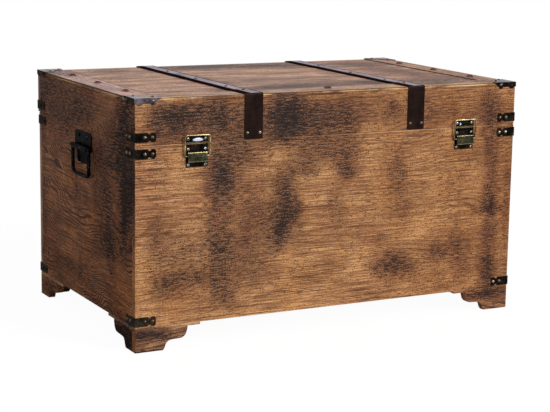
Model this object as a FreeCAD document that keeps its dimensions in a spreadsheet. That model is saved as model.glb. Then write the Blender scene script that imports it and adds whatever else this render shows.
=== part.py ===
import FreeCAD, Part
import math
import os
import re
from FreeCAD import Placement, Rotation, Vector

# A wooden sea chest on bracket feet: a boarded carcass, a framed lid on butt hinges, leather straps,
# iron corner bands and caps, two draw latches and a drop handle at each end.
# Millimetres, +Z up, front facing -Y, origin under the middle of the bounding box.

sizes = {
    # carcass
    "body_width": 840, "body_depth": 515, "body_height": 341.5, "board": 14, "bottom_board": 9,
    # feet
    "foot_span": 133, "foot_plate": 5, "foot_height": 42, "face_foot": 107, "face_toe": 57,
    "side_foot": 104, "side_toe": 46, "foot_step": 18.5, "foot_shoulder": 17, "foot_screw_near": 30,
    "foot_screw_far": 100,
    # lid
    "lid_height": 86, "lid_overhang": 6, "lid_planks": 3, "seam": 0.5, "frame_board": 8,
    "end_frame": 52, "long_frame": 60, "panel_drop": 1.25, "plank_board": 8, "plank_lap": 10,
    "plank_gap": 0.3, "frame_lip": 4,
    # leather straps
    "strap_inset": 240, "strap_width": 38, "strap_leather": 2.5, "strap_lift": 1.5,
    "strap_ease": 7, "strap_nail_edge": 6, "strap_nail_lift": 12, "strap_nail_back": 14,
    # iron corner bands and caps
    "iron": 1.2, "band_leg": 41.5, "band_height": 18, "band_notch": 29, "lid_band_rise": 15,
    "top_band_drop": 15, "low_band_rise": 12, "cap_leg": 52, "cap_flange": 8.5, "cap_lobe": 4,
    "cap_arm": 22, "cap_waist": 12, "band_nail": 9, "cap_nail": 16,
    # nails, studs and screws
    "nail_head": 3.4, "nail_rise": 2, "nail_shank": 0.9, "nail_length": 7, "nail_play": 0.05,
    "stud_head": 8, "stud_rise": 4, "stud_inset": 31, "stud_pitch": 140, "stud_edge": 38,
    "screw_head": 3.4, "screw_rise": 1.8, "screw_shank": 1.5, "screw_length": 11, "flat_head": 2.3,
    "flat_sink": 1.4,
    # draw latches
    "latch_inset": 123, "latch_width": 44, "base_height": 43, "base_drop": 1.5,
    "latch_screw_edge": 4.6, "base_screw_rise": 7.2, "catch_height": 12.5, "catch_lift": 0,
    "hook_width": 27, "hook_rise": 2.9, "hook_height": 8.5, "lever_width": 40, "lever_drop": 18,
    "lever_reach": 15.5, "lever_stand": 4.5, "lever_roll": 2.2, "pin": 1, "pin_head": 1.8,
    "pin_play": 0.06, "ear": 3.2, "ear_gap": 0.9, "bail_wire": 1.5, "bail_drop": 5.6,
    "bail_inset": 0.9, "bail_width": 50.5, "bail_reach": 39.3, "bail_bend": 4, "bail_lean": 4,
    # drop handles
    "pivot_drop": 38, "plate_width": 88, "plate_waist": 62, "plate_height": 63, "plate_iron": 1.8,
    "plate_screw_edge": 9.5, "handle_stand": 6.5, "barrel": 5.5, "barrel_length": 76,
    "handle_rod": 2.5, "handle_grip": 3.6, "handle_width": 85, "handle_drop": 53, "handle_bend": 12,
    "eye": 4.3, "eye_width": 7, "eye_gap": 0.3, "rod_head": 4, "rod_rivet": 4,
    # hinges
    "hinge_inset": 150, "hinge_length": 60, "hinge_back": 1, "knuckle": 3, "knuckle_gap": 0.3,
    "lid_knuckle": 24, "leaf": 1.2, "leaf_width": 8.2, "hinge_screw": 20, "hinge_pin": 1.5,
    "mortise_play": 0.2,
}

# Places worked out from the sizes.
places = {
    "lever_front": "lever_stand + lever_roll",
    "front_stand": "lever_front + iron",
    "back_stand": "lid_overhang + strap_leather + nail_rise",
    "front": "(front_stand - body_depth - back_stand) / 2",
    "back": "front + body_depth",
    "lid_back": "back + lid_overhang",
    "lid_depth": "body_depth + lid_overhang",
    "left": "-body_width / 2",
    "body_bottom": "foot_height + foot_plate",
    "body_top": "body_bottom + body_height",
    "lid_bottom": "body_top + seam",
    "lid_top": "lid_bottom + lid_height",
    "frame_bottom": "lid_top - frame_board",
    "lip_bottom": "lid_top - frame_lip",
    "panel_top": "lid_top - panel_drop",
    "panel_bottom": "panel_top - plank_board",
    "hinge_y": "back + hinge_back",
    "hinge_z": "body_top + seam / 2",
    "strap_x": "body_width / 2 - strap_inset",
    "latch_x": "body_width / 2 - latch_inset",
    "hinge_x": "body_width / 2 - hinge_inset",
    "lever_z": "body_top - lever_drop",
    "bail_z": "lever_z - bail_drop",
    "bail_y": "front - lever_stand + bail_inset",
    "pivot_z": "body_top - pivot_drop",
    "lid_band_z": "lid_bottom + lid_band_rise",
    "top_band_z": "body_top - top_band_drop",
    "low_band_z": "body_bottom + low_band_rise",
}

doc = FreeCAD.newDocument("sea_chest")
sheet = doc.addObject("Spreadsheet::Sheet", "sizes")
for row, (alias, number) in enumerate(sizes.items(), start=1):
    sheet.set("A%d" % row, alias)
    sheet.set("B%d" % row, str(number))
    sheet.setAlias("B%d" % row, alias)
doc.recompute()

nodes = {}
corners = (
    ("front_left", "left", "front", 0), ("front_right", "-left", "front", 90),
    ("back_right", "-left", "back", 180), ("back_left", "left", "back", 270),
)
sides = (("left", -1), ("right", 1))


def spelled(text):
    """Replace each place in an expression by the sizes it is worked out from."""
    def swap(match):
        word = match.group(0)
        return "(" + spelled(places[word]) + ")" if word in places else word
    return re.sub(r"[a-z_]+", swap, str(text))


def mm(text):
    """The value of an expression of sizes and places."""
    return float(sheet.evalExpression(spelled(text)))


def bind(item, **expressions):
    """Tie properties of an object to the sheet."""
    for name, text in expressions.items():
        linked = re.sub(r"[a-z_]+", lambda found: "sizes." + found.group(0), spelled(text))
        item.setExpression(name.replace("_", "."), linked)


def put(item, at, turn=0, axis=(0, 0, 1)):
    """Place an object at three expressions, turned about an axis by an angle in degrees."""
    item.Placement = Placement(Vector(), Rotation(Vector(*axis), turn))
    x, y, z = at
    bind(item, Placement_Base_x=x, Placement_Base_y=y, Placement_Base_z=z)
    return item


def box(name, size, at):
    """A block whose low corner is at the given place."""
    block = doc.addObject("Part::Box", name)
    length, width, height = size
    bind(block, Length=length, Width=width, Height=height)
    return put(block, at)


def rod(name, radius, length, at, along="z"):
    """A cylinder along one axis, starting at the given place."""
    turn, axis = {"x": (90, (0, 1, 0)), "y": (-90, (1, 0, 0)), "z": (0, (0, 0, 1))}[along]
    bar = doc.addObject("Part::Cylinder", name)
    bind(bar, Radius=radius, Height=length)
    return put(bar, at, turn, axis)


def joined(name, pieces):
    """One solid made of several that overlap."""
    whole = doc.addObject("Part::MultiFuse", name)
    whole.Shapes = pieces
    return whole


def less(name, base, tools):
    """A solid with others cut out of it."""
    tool = tools[0] if len(tools) == 1 else joined(name + "_cutters", tools)
    rest = doc.addObject("Part::Cut", name)
    rest.Base = base
    rest.Tool = tool
    return rest


def grouped(name, members):
    """Separate solids that share a node."""
    group = doc.addObject("Part::Compound", name)
    group.Links = members
    return group


def outline(start, *steps):
    """Closed edges: a step of one point is a line, a step of two is an arc through the first."""
    edges = []
    here = Vector(*start)
    for step in steps + ((start,),):
        there = Vector(*step[-1])
        if (there - here).Length < 1e-7:
            continue
        if len(step) == 2:
            edges.append(Part.Arc(here, Vector(*step[0]), there))
        else:
            edges.append(Part.LineSegment(here, there))
        here = there
    return edges


def drawn(body, name, plane, edges):
    """A sketch on one of the body's own origin planes."""
    sketch = body.newObject("Sketcher::SketchObject", name)
    origin_plane = [item for item in body.Origin.OriginFeatures if item.Role == plane + "_Plane"]
    sketch.AttachmentSupport = [(origin_plane[0], "")]
    sketch.MapMode = "FlatFace"
    sketch.addGeometry(edges, False)
    return sketch


def padded(body, sketch, length, side="One side", away=False):
    """A pad whose length is bound to the sheet."""
    pad = body.newObject("PartDesign::Pad", sketch.Name + "_pad")
    pad.Profile = sketch
    pad.SideType = side
    pad.Reversed = away
    bind(pad, Length=length)
    return pad


def piped(body, name, radius, plane, ring, path):
    """A round bar swept along a sketched path; ring is the section's centre in its own plane."""
    centre = Part.Circle(Vector(*ring), Vector(0, 0, 1), radius)
    pipe = body.newObject("PartDesign::AdditivePipe", name)
    pipe.Profile = drawn(body, name + "_section", plane, [centre])
    spine = drawn(body, name + "_path", "YZ" if plane == "XY" else "XZ", path)
    pipe.Spine = (spine, [])
    return pipe


# Fasteners: each kind's head and shank, and where the pieces of each group sit.
kinds = {
    "nail": {"head": "nail_head", "rise": "nail_rise", "shank": "nail_shank", "length": "nail_length"},
    "stud": {"head": "stud_head", "rise": "stud_rise", "shank": "nail_shank", "length": "nail_length"},
    "screw": {"head": "screw_head", "rise": "screw_rise", "shank": "screw_shank",
              "length": "screw_length"},
    "flat": {"head": "flat_head", "sink": "flat_sink", "shank": "screw_shank",
             "length": "screw_length"},
}


def turned(profile):
    """A solid of revolution about Z from points and arcs in the XZ plane."""
    wire = Part.Wire([edge.toShape() for edge in profile])
    return Part.Face(wire).revolve(Vector(), Vector(0, 0, 1), 360)


def fastener(kind, play=0):
    """One fastener, or the hole it needs, driven along -Z from a surface at Z = 0."""
    head, shank, length = (mm(kinds[kind][part]) for part in ("head", "shank", "length"))
    shank += play
    if "sink" in kinds[kind]:
        sink = mm(kinds[kind]["sink"])
        profile = outline((0, 0, 0), ((head + play, 0, 0),), ((shank, 0, -sink - play),),
                          ((shank, 0, -length - play),), ((0, 0, -length - play),))
    elif play:
        profile = outline((0, 0, 1), ((shank, 0, 1),), ((shank, 0, -length - play),),
                          ((0, 0, -length - play),))
    else:
        rise = mm(kinds[kind]["rise"])
        middle = (head * math.sin(math.radians(45)), 0, rise * 0.62)
        profile = outline((0, 0, rise), (middle, (head, 0, 0)), ((shank, 0, 0),),
                          ((shank, 0, -length),), ((0, 0, -length),))
    return turned(profile)


def driven(kind, seat, play=0):
    """A fastener set at a seat: a point on the surface and the direction that its head faces."""
    point, outward = seat
    piece = fastener(kind, play)
    piece.Placement = Placement(Vector(*point), Rotation(Vector(0, 0, 1), Vector(*outward)))
    return piece


def turned_seat(seat, corner):
    """A seat given beside the front left corner, turned to another corner of the chest."""
    (x, y, z), outward = seat
    name, corner_x, corner_y, turn = corner
    spin = Rotation(Vector(0, 0, 1), turn)
    there = spin.multVec(Vector(x, y, z)) + Vector(mm(corner_x), mm(corner_y), 0)
    return tuple(there), tuple(spin.multVec(Vector(*outward)))


def lid_corner(corner):
    """The same corner of the lid, which overhangs the carcass at the back."""
    name, x, y, turn = corner
    return name, x, "lid_back" if y == "back" else y, turn


def band_seats(height):
    """Two nails in each leg of a corner band, beside the front left corner."""
    iron, notch, leg = mm("iron"), mm("band_notch"), mm("band_leg")
    seats = []
    for along in (notch - mm("band_nail"), (notch + leg) / 2):
        seats.append(((along, -iron, height), (0, -1, 0)))
        seats.append(((-iron, along, height), (-1, 0, 0)))
    return seats


def cap_seats():
    """Two nails in the top of a corner cap and one in each flange."""
    iron, top, leg, arm = mm("iron"), mm("lid_top"), mm("cap_leg"), mm("cap_arm")
    along = leg - mm("cap_nail")
    down = top - mm("cap_flange") / 2
    far, near = along + 4, arm * 0.6
    return [((far, near, top + iron), (0, 0, 1)), ((near, far, top + iron), (0, 0, 1)),
            ((along, -iron, down), (0, -1, 0)), ((-iron, along, down), (-1, 0, 0))]


def strap_seats(x):
    """Nails of one strap: two near each end and four along the top."""
    leather, half = mm("strap_leather"), mm("strap_width / 2 - strap_nail_edge")
    low = mm("lid_bottom + strap_lift + strap_nail_lift")
    front, rear = mm("front") - leather, mm("lid_back") + leather
    middle = mm("front + lid_depth / 2")
    seats = []
    for across in (-half, half):
        seats.append(((x + across, front, low), (0, -1, 0)))
        seats.append(((x + across, rear, low), (0, 1, 0)))
    for along in (-1, 0, 1):
        y = middle + along * mm("stud_pitch")
        seats.append(((x, y, mm("panel_top") + leather), (0, 0, 1)))
    seats.append(((x, mm("front + long_frame - strap_nail_back"), mm("lid_top") + leather), (0, 0, 1)))
    return seats


def stud_seats():
    """Three studs in each end frame and one in the middle of the front frame."""
    top, middle = mm("lid_top"), mm("front + lid_depth / 2")
    seats = [((0, mm("front + stud_edge"), top), (0, 0, 1))]
    for side, sign in sides:
        for along in (-1, 0, 1):
            x = sign * mm("body_width / 2 - stud_inset")
            seats.append(((x, middle + along * mm("stud_pitch"), top), (0, 0, 1)))
    return seats


def latch_seats():
    """Screws of both latches: four in each base and two in each catch."""
    base, catch = [], []
    across = mm("latch_width / 2 - latch_screw_edge")
    low = mm("body_top - base_drop - base_height + latch_screw_edge")
    high = mm("lid_bottom + catch_lift + catch_height - latch_screw_edge")
    for side, sign in sides:
        for step in (-across, across):
            x = sign * mm("latch_x") + step
            face = mm("front - iron")
            base.append(((x, face, mm("lever_z + base_screw_rise")), (0, -1, 0)))
            base.append(((x, face, low), (0, -1, 0)))
            catch.append(((x, face, high), (0, -1, 0)))
    return base, catch


def handle_seats():
    """Four screws in each handle plate."""
    seats = []
    across, up = mm("plate_waist / 2 - plate_screw_edge"), mm("plate_height / 2 - plate_screw_edge")
    for side, sign in sides:
        for y in (-across, across):
            for z in (-up, up):
                point = (sign * mm("body_width / 2 + plate_iron"), mm("front + body_depth / 2") + y,
                         mm("pivot_z") + z)
                seats.append((point, (sign, 0, 0)))
    return seats


def hinge_seats():
    """Two flat screws in each leaf of both hinges, down into the carcass and up into the lid."""
    down, up = [], []
    y = mm("hinge_y - (leaf_width + knuckle) / 2")
    for side, sign in sides:
        for step in (-1, 1):
            x = sign * mm("hinge_x") + step * mm("hinge_screw")
            down.append(((x, y, mm("body_top")), (0, 0, 1)))
            up.append(((x, y, mm("lid_bottom")), (0, 0, -1)))
    return down, up


def foot_seats():
    """Two flat screws up through each foot plate."""
    near, far = mm("foot_screw_near"), mm("foot_screw_far")
    seats = []
    for corner in corners:
        for x, y in ((near, far), (far, near)):
            seats.append(turned_seat(((x, y, mm("foot_height")), (0, 0, -1)), corner))
    return seats


def corner_seats():
    """Nails of the bands on the carcass, and of the bands and caps on the lid."""
    body, lid = [], []
    for corner in corners:
        for place in ("top_band_z", "low_band_z"):
            body += [turned_seat(seat, corner) for seat in band_seats(mm(place))]
        near_lid = band_seats(mm("lid_band_z")) + cap_seats()
        lid += [turned_seat(seat, lid_corner(corner)) for seat in near_lid]
    return body, lid


def all_seats():
    """Every fastener of the chest, by node: its kind and its seats."""
    body_nails, lid_nails = corner_seats()
    for side, sign in sides:
        lid_nails += strap_seats(sign * mm("strap_x"))
    latch_base, latch_catch = latch_seats()
    hinge_down, hinge_up = hinge_seats()
    return {
        "body_nails": [("nail", seat) for seat in body_nails],
        "lid_nails": [("nail", seat) for seat in lid_nails],
        "lid_studs": [("stud", seat) for seat in stud_seats()],
        "body_screws": [("screw", seat) for seat in latch_base + handle_seats()]
        + [("flat", seat) for seat in hinge_down + foot_seats()],
        "lid_screws": [("screw", seat) for seat in latch_catch] + [("flat", seat) for seat in hinge_up],
    }


driven_pieces = all_seats()
holes = {
    group: [driven(kind, seat, mm("nail_play")) for kind, seat in driven_pieces[group]]
    for group in driven_pieces
}
body_groups = ("body_nails", "body_screws")
lid_groups = ("lid_nails", "lid_studs", "lid_screws")
plank_room = "body_width - 2 * end_frame + 2 * plank_lap"


def node(name, piece, groups=()):
    """Keep a piece as a named node, bored for the fasteners of the given groups that meet it."""
    doc.recompute()
    reach = piece.Shape.BoundBox
    cutters = [hole for group in groups for hole in holes[group] if reach.intersect(hole.BoundBox)]
    if cutters:
        bores = doc.addObject("Part::Feature", name + "_bores")
        bores.Shape = Part.makeCompound(cutters)
        piece = less(name + "_bored", piece, [bores])
    piece.Label = name
    nodes[name] = piece
    return piece


def fasteners():
    """Each group of identical nails, studs or screws as separate solids in one node."""
    for group, pieces in driven_pieces.items():
        item = doc.addObject("Part::Feature", group + "_solids")
        item.Shape = Part.makeCompound([driven(kind, seat) for kind, seat in pieces])
        node(group, item)


def hinge_room(name, z, height, above):
    """Cutters for both hinges: the leaf's recess and the round of the knuckles."""
    cutters = []
    for side, sign in sides:
        low_x = "%d * hinge_x - hinge_length / 2 - mortise_play" % sign
        span = "hinge_length + 2 * mortise_play"
        recess = box("%s_%s_recess" % (name, side), (span, "leaf_width + mortise_play", height),
                     (low_x, "hinge_y - leaf_width - mortise_play", z))
        bore = rod("%s_%s_round" % (name, side), "knuckle + knuckle_gap", span,
                   (low_x, "hinge_y", "hinge_z"), "x")
        cutters += [recess, bore]
        if above:
            way = (span, "lid_overhang", "knuckle + knuckle_gap")
            cutters.append(box("%s_%s_way" % (name, side), way, (low_x, "hinge_y", "lid_bottom")))
    return cutters


def carcass():
    """Front and back boards that lap the ends of the side boards, and the bottom between them."""
    full = ("body_width", "board", "body_height")
    node("front_board", box("front_panel", full, ("left", "front", "body_bottom")), body_groups)
    rear = box("back_panel", full, ("left", "back - board", "body_bottom"))
    room = hinge_room("carcass_hinge", "body_top - leaf", "leaf", False)
    node("back_board", less("back_panel_cut", rear, room), body_groups)
    end = ("board", "body_depth - 2 * board", "body_height")
    for side, place in (("left", "left"), ("right", "-left - board")):
        panel = box(side + "_panel", end, (place, "front + board", "body_bottom"))
        node(side + "_side_board", panel, body_groups)
    inside = ("body_width - 2 * board", "body_depth - 2 * board", "bottom_board")
    floor = box("floor_panel", inside, ("left + board", "front + board", "body_bottom"))
    node("bottom_board", floor, body_groups)


def foot_outline(length, toe):
    """A bracket foot from its outer corner: a toe, a hollow up to the step and a rounded end."""
    step, top = mm("foot_step"), mm("foot_height")
    return outline(
        (0, 0, 0), ((toe, 0, 0),),
        ((toe + 3.6, step * 0.3, 0), (toe + 6, step * 0.7, 0)),
        ((toe + 8.8, step * 0.93, 0), (toe + 15, step, 0)),
        ((length - mm("foot_shoulder"), step + 1.5, 0),),
        ((length - 5.5, step + 4.5, 0), (length - 1.5, step + 12, 0)),
        ((length, top, 0),), ((0, top, 0),))


def bracket(name, length, toe, at, turn):
    """A shaped foot board: drawn along +X, its outer face at Y = 0 and its back at +Y."""
    body = doc.addObject("PartDesign::Body", name + "_board")
    sketch = drawn(body, name + "_outline", "XZ", foot_outline(length, toe))
    padded(body, sketch, "board", away=True)
    node(name, put(body, at, turn))


def feet():
    """A square plate at each corner with two shaped boards below it, the face board lapping the side."""
    for name, x, y, turn in corners:
        inward = 1 if x == "left" else -1
        behind = 1 if y == "front" else -1
        far_x = x if inward == 1 else x + " - foot_span"
        far_y = y if behind == 1 else y + " - foot_span"
        size = ("foot_span", "foot_span", "foot_plate")
        plate = box(name + "_plate", size, (far_x, far_y, "foot_height"))
        node(name + "_foot_plate", plate, body_groups)
        # A board turned half round has its back to the front, so it starts a board's thickness on.
        face_y = y if inward == behind else "%s + %d * board" % (y, behind)
        face_turn = 0 if inward == 1 else 180
        bracket(name + "_foot_face", mm("face_foot"), mm("face_toe"), (x, face_y, "0"), face_turn)
        side_x = x if inward != behind else "%s + %d * board" % (x, inward)
        side_y = "%s + %d * board" % (y, behind)
        side_turn = 90 if behind == 1 else 270
        length, toe = mm("side_foot - board"), mm("side_toe - board")
        bracket(name + "_foot_side", length, toe, (side_x, side_y, "0"), side_turn)


def lid_box():
    """Front, back and end rails; the back one is notched for the planks, which run out over it."""
    rail = ("body_width", "board", "lid_height - frame_board")
    node("lid_front_rail", box("lid_front", rail, ("left", "front", "lid_bottom")), lid_groups)
    rear = box("lid_rear", rail, ("left", "lid_back - board", "lid_bottom"))
    notch = box("plank_notch", (plank_room, "board", "frame_bottom - panel_bottom"),
                ("left + end_frame - plank_lap", "lid_back - board", "panel_bottom"))
    rooms = hinge_room("lid_hinge", "lid_bottom", "leaf", True) + [notch]
    node("lid_back_rail", less("lid_rear_cut", rear, rooms), lid_groups)
    end = ("board", "lid_depth - 2 * board", "lid_height - frame_board")
    for side, place in (("left", "left"), ("right", "-left - board")):
        panel = box("lid_%s_end" % side, end, (place, "front + board", "lid_bottom"))
        node("lid_%s_rail" % side, panel, lid_groups)


def lid_frame():
    """Three boards round the front and the ends of the lid's top, half-lapped underneath for the planks."""
    inner = "frame_board - frame_lip"
    board = box("front_frame", ("body_width", "long_frame", "frame_board"), ("left", "front", "frame_bottom"))
    rebate = box("front_rebate", (plank_room, "plank_lap", inner),
                 ("left + end_frame - plank_lap", "front + long_frame - plank_lap", "frame_bottom"))
    node("lid_front_frame", less("front_frame_cut", board, [rebate]), lid_groups)
    length = "lid_depth - long_frame"
    for side, x, lap_x in (("left", "left", "left + end_frame - plank_lap"),
                           ("right", "-left - end_frame", "-left - end_frame")):
        board = box("%s_end_frame" % side, ("end_frame", length, "frame_board"),
                    (x, "front + long_frame", "frame_bottom"))
        rebate = box("%s_end_rebate" % side, ("plank_lap", length, inner),
                     (lap_x, "front + long_frame", "frame_bottom"))
        node("lid_%s_frame" % side, less("%s_end_cut" % side, board, [rebate]), lid_groups)


def lid_planks():
    """Three planks half-lapped under the frame, a little lower than it, and carried out over the back rail."""
    count = int(mm("lid_planks"))
    room = "(lid_depth - long_frame + plank_lap)"
    wide = "(%s / %d - plank_gap)" % (room, count)
    lap, step = "plank_lap + plank_gap / 2", "frame_lip - panel_drop"
    for index in range(count):
        y = "front + long_frame - plank_lap + plank_gap / 2 + %d * %s / %d" % (index, room, count)
        plank = box("plank_%d" % (index + 1), (plank_room + " - plank_gap", wide, "plank_board"),
                    ("left + end_frame - plank_lap + plank_gap / 2", y, "panel_bottom"))
        laps = [box("plank_%d_%s_lap" % (index + 1, side), (lap, wide, step), (x, y, "lip_bottom"))
                for side, x in (("left", "left + end_frame - plank_lap"), ("right", "-left - end_frame - plank_gap / 2"))]
        if index == 0:
            laps.append(box("plank_1_front_lap", (plank_room, lap, step),
                            ("left + end_frame - plank_lap", "front + long_frame - plank_lap", "lip_bottom")))
        node("lid_plank_%d" % (index + 1), less("plank_%d_cut" % (index + 1), plank, laps), lid_groups)


def strap_outline():
    """The strap from the side: up the front, over the frame, down to the planks and along them to the back."""
    low, top, panel = mm("lid_bottom + strap_lift"), mm("lid_top"), mm("panel_top")
    front, rear = mm("front"), mm("lid_back")
    leather, frame, ease = mm("strap_leather"), mm("long_frame"), mm("strap_ease")
    slant = leather * math.cos(math.radians(45))
    return outline(
        (front, low, 0), ((front, top, 0),), ((front + frame, top, 0),),
        ((front + frame + ease, panel, 0),), ((rear, panel, 0),), ((rear, low, 0),), ((rear + leather, low, 0),),
        ((rear + leather, panel, 0),), ((rear + slant, panel + slant, 0), (rear, panel + leather, 0)),
        ((front + frame + ease, panel + leather, 0),), ((front + frame, top + leather, 0),),
        ((front, top + leather, 0),), ((front - slant, top + slant, 0), (front - leather, top, 0)),
        ((front - leather, low, 0),))


def straps():
    """Two leather straps over the lid, nailed at both ends and along the top."""
    for side, sign in sides:
        body = doc.addObject("PartDesign::Body", side + "_leather")
        sketch = drawn(body, side + "_leather_outline", "YZ", strap_outline())
        padded(body, sketch, "strap_width", side="Symmetric")
        node(side + "_strap", put(body, ("%d * strap_x" % sign, "0", "0")), lid_groups)


def band_outline():
    """One leg of a corner band: a plain strip, a notch on both edges and a round-cornered end."""
    iron, half = mm("iron"), mm("band_height / 2")
    notch, leg = mm("band_notch"), mm("band_leg")
    return outline(
        (-iron, -half, 0), ((notch - 4, -half, 0),),
        ((notch, 3.2 - half, 0), (notch + 4, -half, 0)), ((leg - 4.5, -half, 0),),
        ((leg - 1.3, 1.3 - half, 0), (leg, 4.5 - half, 0)), ((leg, half - 4.5, 0),),
        ((leg - 1.3, half - 1.3, 0), (leg - 4.5, half, 0)), ((notch + 4, half, 0),),
        ((notch, half - 3.2, 0), (notch - 4, half, 0)), ((-iron, half, 0),))


def two_legged(name, leg_edges, flipped_edges):
    """A body with one leg on each face beside a corner, both outside the wood."""
    body = doc.addObject("PartDesign::Body", name)
    padded(body, drawn(body, name + "_face", "XZ", leg_edges), "iron")
    padded(body, drawn(body, name + "_side", "YZ", flipped_edges), "iron", away=True)
    return body


def bands():
    """An iron band round every corner: at the foot and the top of the carcass, and on the lid."""
    for group, height, groups in (("upper_corner_bands", "top_band_z", body_groups),
                                  ("lower_corner_bands", "low_band_z", body_groups),
                                  ("lid_corner_bands", "lid_band_z", lid_groups)):
        members = []
        for corner in corners:
            name, x, y, turn = lid_corner(corner) if group == "lid_corner_bands" else corner
            band = two_legged("%s_%s" % (group, name), band_outline(), band_outline())
            members.append(put(band, (x, y, height), turn))
        node(group, grouped(group + "_set", members), groups)


def cap_flange_outline():
    """The cap's flange: two hanging lobes, the outer one at the nail, tapering to the tip."""
    iron, leg, drop = mm("iron"), mm("cap_leg"), mm("cap_flange")
    low = -drop - mm("cap_lobe")
    nail = leg - mm("cap_nail")
    return outline(
        (-iron, 0, 0), ((leg, 0, 0),), ((leg - 5, -drop * 0.35, 0), (nail + 4.5, -drop, 0)),
        ((nail + 0.5, low, 0), (nail - 5, -drop, 0)), ((16, -drop, 0),), ((9, low, 0), (2, -drop, 0)),
        ((-iron, -drop, 0),))


def cap_top_outline():
    """The cap's top: an arm along each edge, rounded at the nails and hollow between them."""
    iron, leg, arm, waist = mm("iron"), mm("cap_leg"), mm("cap_arm"), mm("cap_waist")
    hollow = arm * 1.22
    return outline(
        (-iron, -iron, 0), ((leg, -iron, 0),), ((leg - 4, 3.5, 0), (leg - 5.5, 8, 0)),
        ((leg - 5, arm - 5, 0), (leg - waist, arm - 0.5, 0)),
        ((hollow, hollow, 0), (arm - 0.5, leg - waist, 0)),
        ((arm - 5, leg - 5, 0), (8, leg - 5.5, 0)), ((3.5, leg - 4, 0), (-iron, leg, 0)))


def caps():
    """A three-sided iron cap on each top corner of the lid."""
    for corner in corners:
        name, x, y, turn = lid_corner(corner)
        edges = cap_flange_outline()
        cap = two_legged(name + "_cap_iron", edges, cap_flange_outline())
        padded(cap, drawn(cap, name + "_cap_top", "XY", cap_top_outline()), "iron")
        node(name + "_corner_cap", put(cap, (x, y, "lid_top"), turn), lid_groups)


def latch_base(side, x):
    """Back plate on the carcass with two ears that carry the lever's pin."""
    plate = box(side + "_base_plate", ("latch_width", "iron", "base_height"),
                (x + " - latch_width / 2", "front - iron", "body_top - base_drop - base_height"))
    pieces = [plate]
    starts = (("near", " - lever_width / 2 - ear_gap - iron"), ("far", " + lever_width / 2 + ear_gap"))
    for hand, start in starts:
        pieces.append(rod("%s_%s_ear" % (side, hand), "ear", "iron",
                          (x + start, "front - lever_stand", "lever_z"), "x"))
        pieces.append(box("%s_%s_neck" % (side, hand), ("iron", "lever_stand", "2 * ear"),
                          (x + start, "front - lever_stand", "lever_z - ear")))
    bore = rod(side + "_pin_bore", "pin", "lever_width + 2 * (ear_gap + iron)",
               (x + " - lever_width / 2 - ear_gap - iron", "front - lever_stand", "lever_z"), "x")
    whole = joined(side + "_base_whole", pieces)
    node(side + "_latch_base", less(side + "_base_cut", whole, [bore]), body_groups)


def latch_catch(side, x):
    """Catch plate on the lid: a rolled lower edge and a raised hook with rounded edges."""
    low = "lid_bottom + catch_lift"
    plate = box(side + "_catch_plate", ("latch_width", "iron", "catch_height"),
                (x + " - latch_width / 2", "front - iron", low))
    roll = rod(side + "_catch_roll", "bail_wire", "latch_width",
               (x + " - latch_width / 2", "front - bail_wire", low + " + bail_wire"), "x")
    block = box(side + "_hook_block", ("hook_width", "hook_rise + iron", "hook_height"),
                (x + " - hook_width / 2", "front - iron - hook_rise", low + " + 1.5 * bail_wire"))
    doc.recompute()
    face = mm("front - iron - hook_rise")
    hook = doc.addObject("Part::Fillet", side + "_hook")
    hook.Base = block
    rim = [index for index, edge in enumerate(block.Shape.Edges, start=1)
           if abs(edge.BoundBox.YMin - face) < 1e-6 and edge.BoundBox.YLength < 1e-6]
    round_off = mm("hook_rise") * 0.8
    hook.Edges = [(index, round_off, round_off) for index in rim]
    node(side + "_latch_catch", joined(side + "_catch_whole", [plate, roll, hook]), lid_groups)


def latch_lever(side, x):
    """Lever: a plate hung from a rolled top edge, a curled lip and two cheeks that hold the bail."""
    low_x = x + " - lever_width / 2"
    pivot = (low_x, "front - lever_stand", "lever_z")
    roll = rod(side + "_lever_roll", "lever_roll", "lever_width", pivot, "x")
    plate = box(side + "_lever_plate", ("lever_width", "iron", "lever_reach"),
                (low_x, "front - lever_front", "lever_z - lever_reach"))
    lip = rod(side + "_lever_lip", "iron", "lever_width",
              (low_x, "front - lever_front", "lever_z - lever_reach"), "x")
    pieces = [roll, plate, lip]
    for hand, start in (("near", " - lever_width / 2"), ("far", " + lever_width / 2 - iron")):
        size = ("iron", "lever_stand", "bail_drop + 1.5 * bail_wire")
        place = (x + start, "front - lever_front + iron / 2", "bail_z - 2 * bail_wire")
        pieces.append(box("%s_%s_cheek" % (side, hand), size, place))
    pin_bore = rod(side + "_lever_bore", "pin + pin_play", "lever_width", pivot, "x")
    loop_pivot = (low_x, "bail_y", "bail_z")
    bail_bore = rod(side + "_bail_bore", "bail_wire + pin_play", "lever_width", loop_pivot, "x")
    whole = less(side + "_lever_cut", joined(side + "_lever_whole", pieces), [pin_bore, bail_bore])
    node(side + "_latch_lever", whole)


def latch_bail(side, x):
    """A closed wire loop: its lower bar in the lever's cheeks, its upper bar in front of the hook."""
    half, reach, bend = mm("bail_width / 2"), mm("bail_reach"), mm("bail_bend")
    short = bend * (1 - math.cos(math.radians(45)))
    loop = outline(
        (0, 0, 0), ((half - bend, 0, 0),), ((half - short, short, 0), (half, bend, 0)),
        ((half, reach - bend, 0),), ((half - short, reach - short, 0), (half - bend, reach, 0)),
        ((bend - half, reach, 0),), ((short - half, reach - short, 0), (-half, reach - bend, 0)),
        ((-half, bend, 0),), ((short - half, short, 0), (bend - half, 0, 0)))
    body = doc.addObject("PartDesign::Body", side + "_wire")
    piped(body, side + "_wire_loop", mm("bail_wire"), "YZ", (0, 0, 0), loop)
    node(side + "_latch_bail", put(body, (x, "bail_y", "bail_z"), mm("bail_lean"), (1, 0, 0)))


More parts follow.
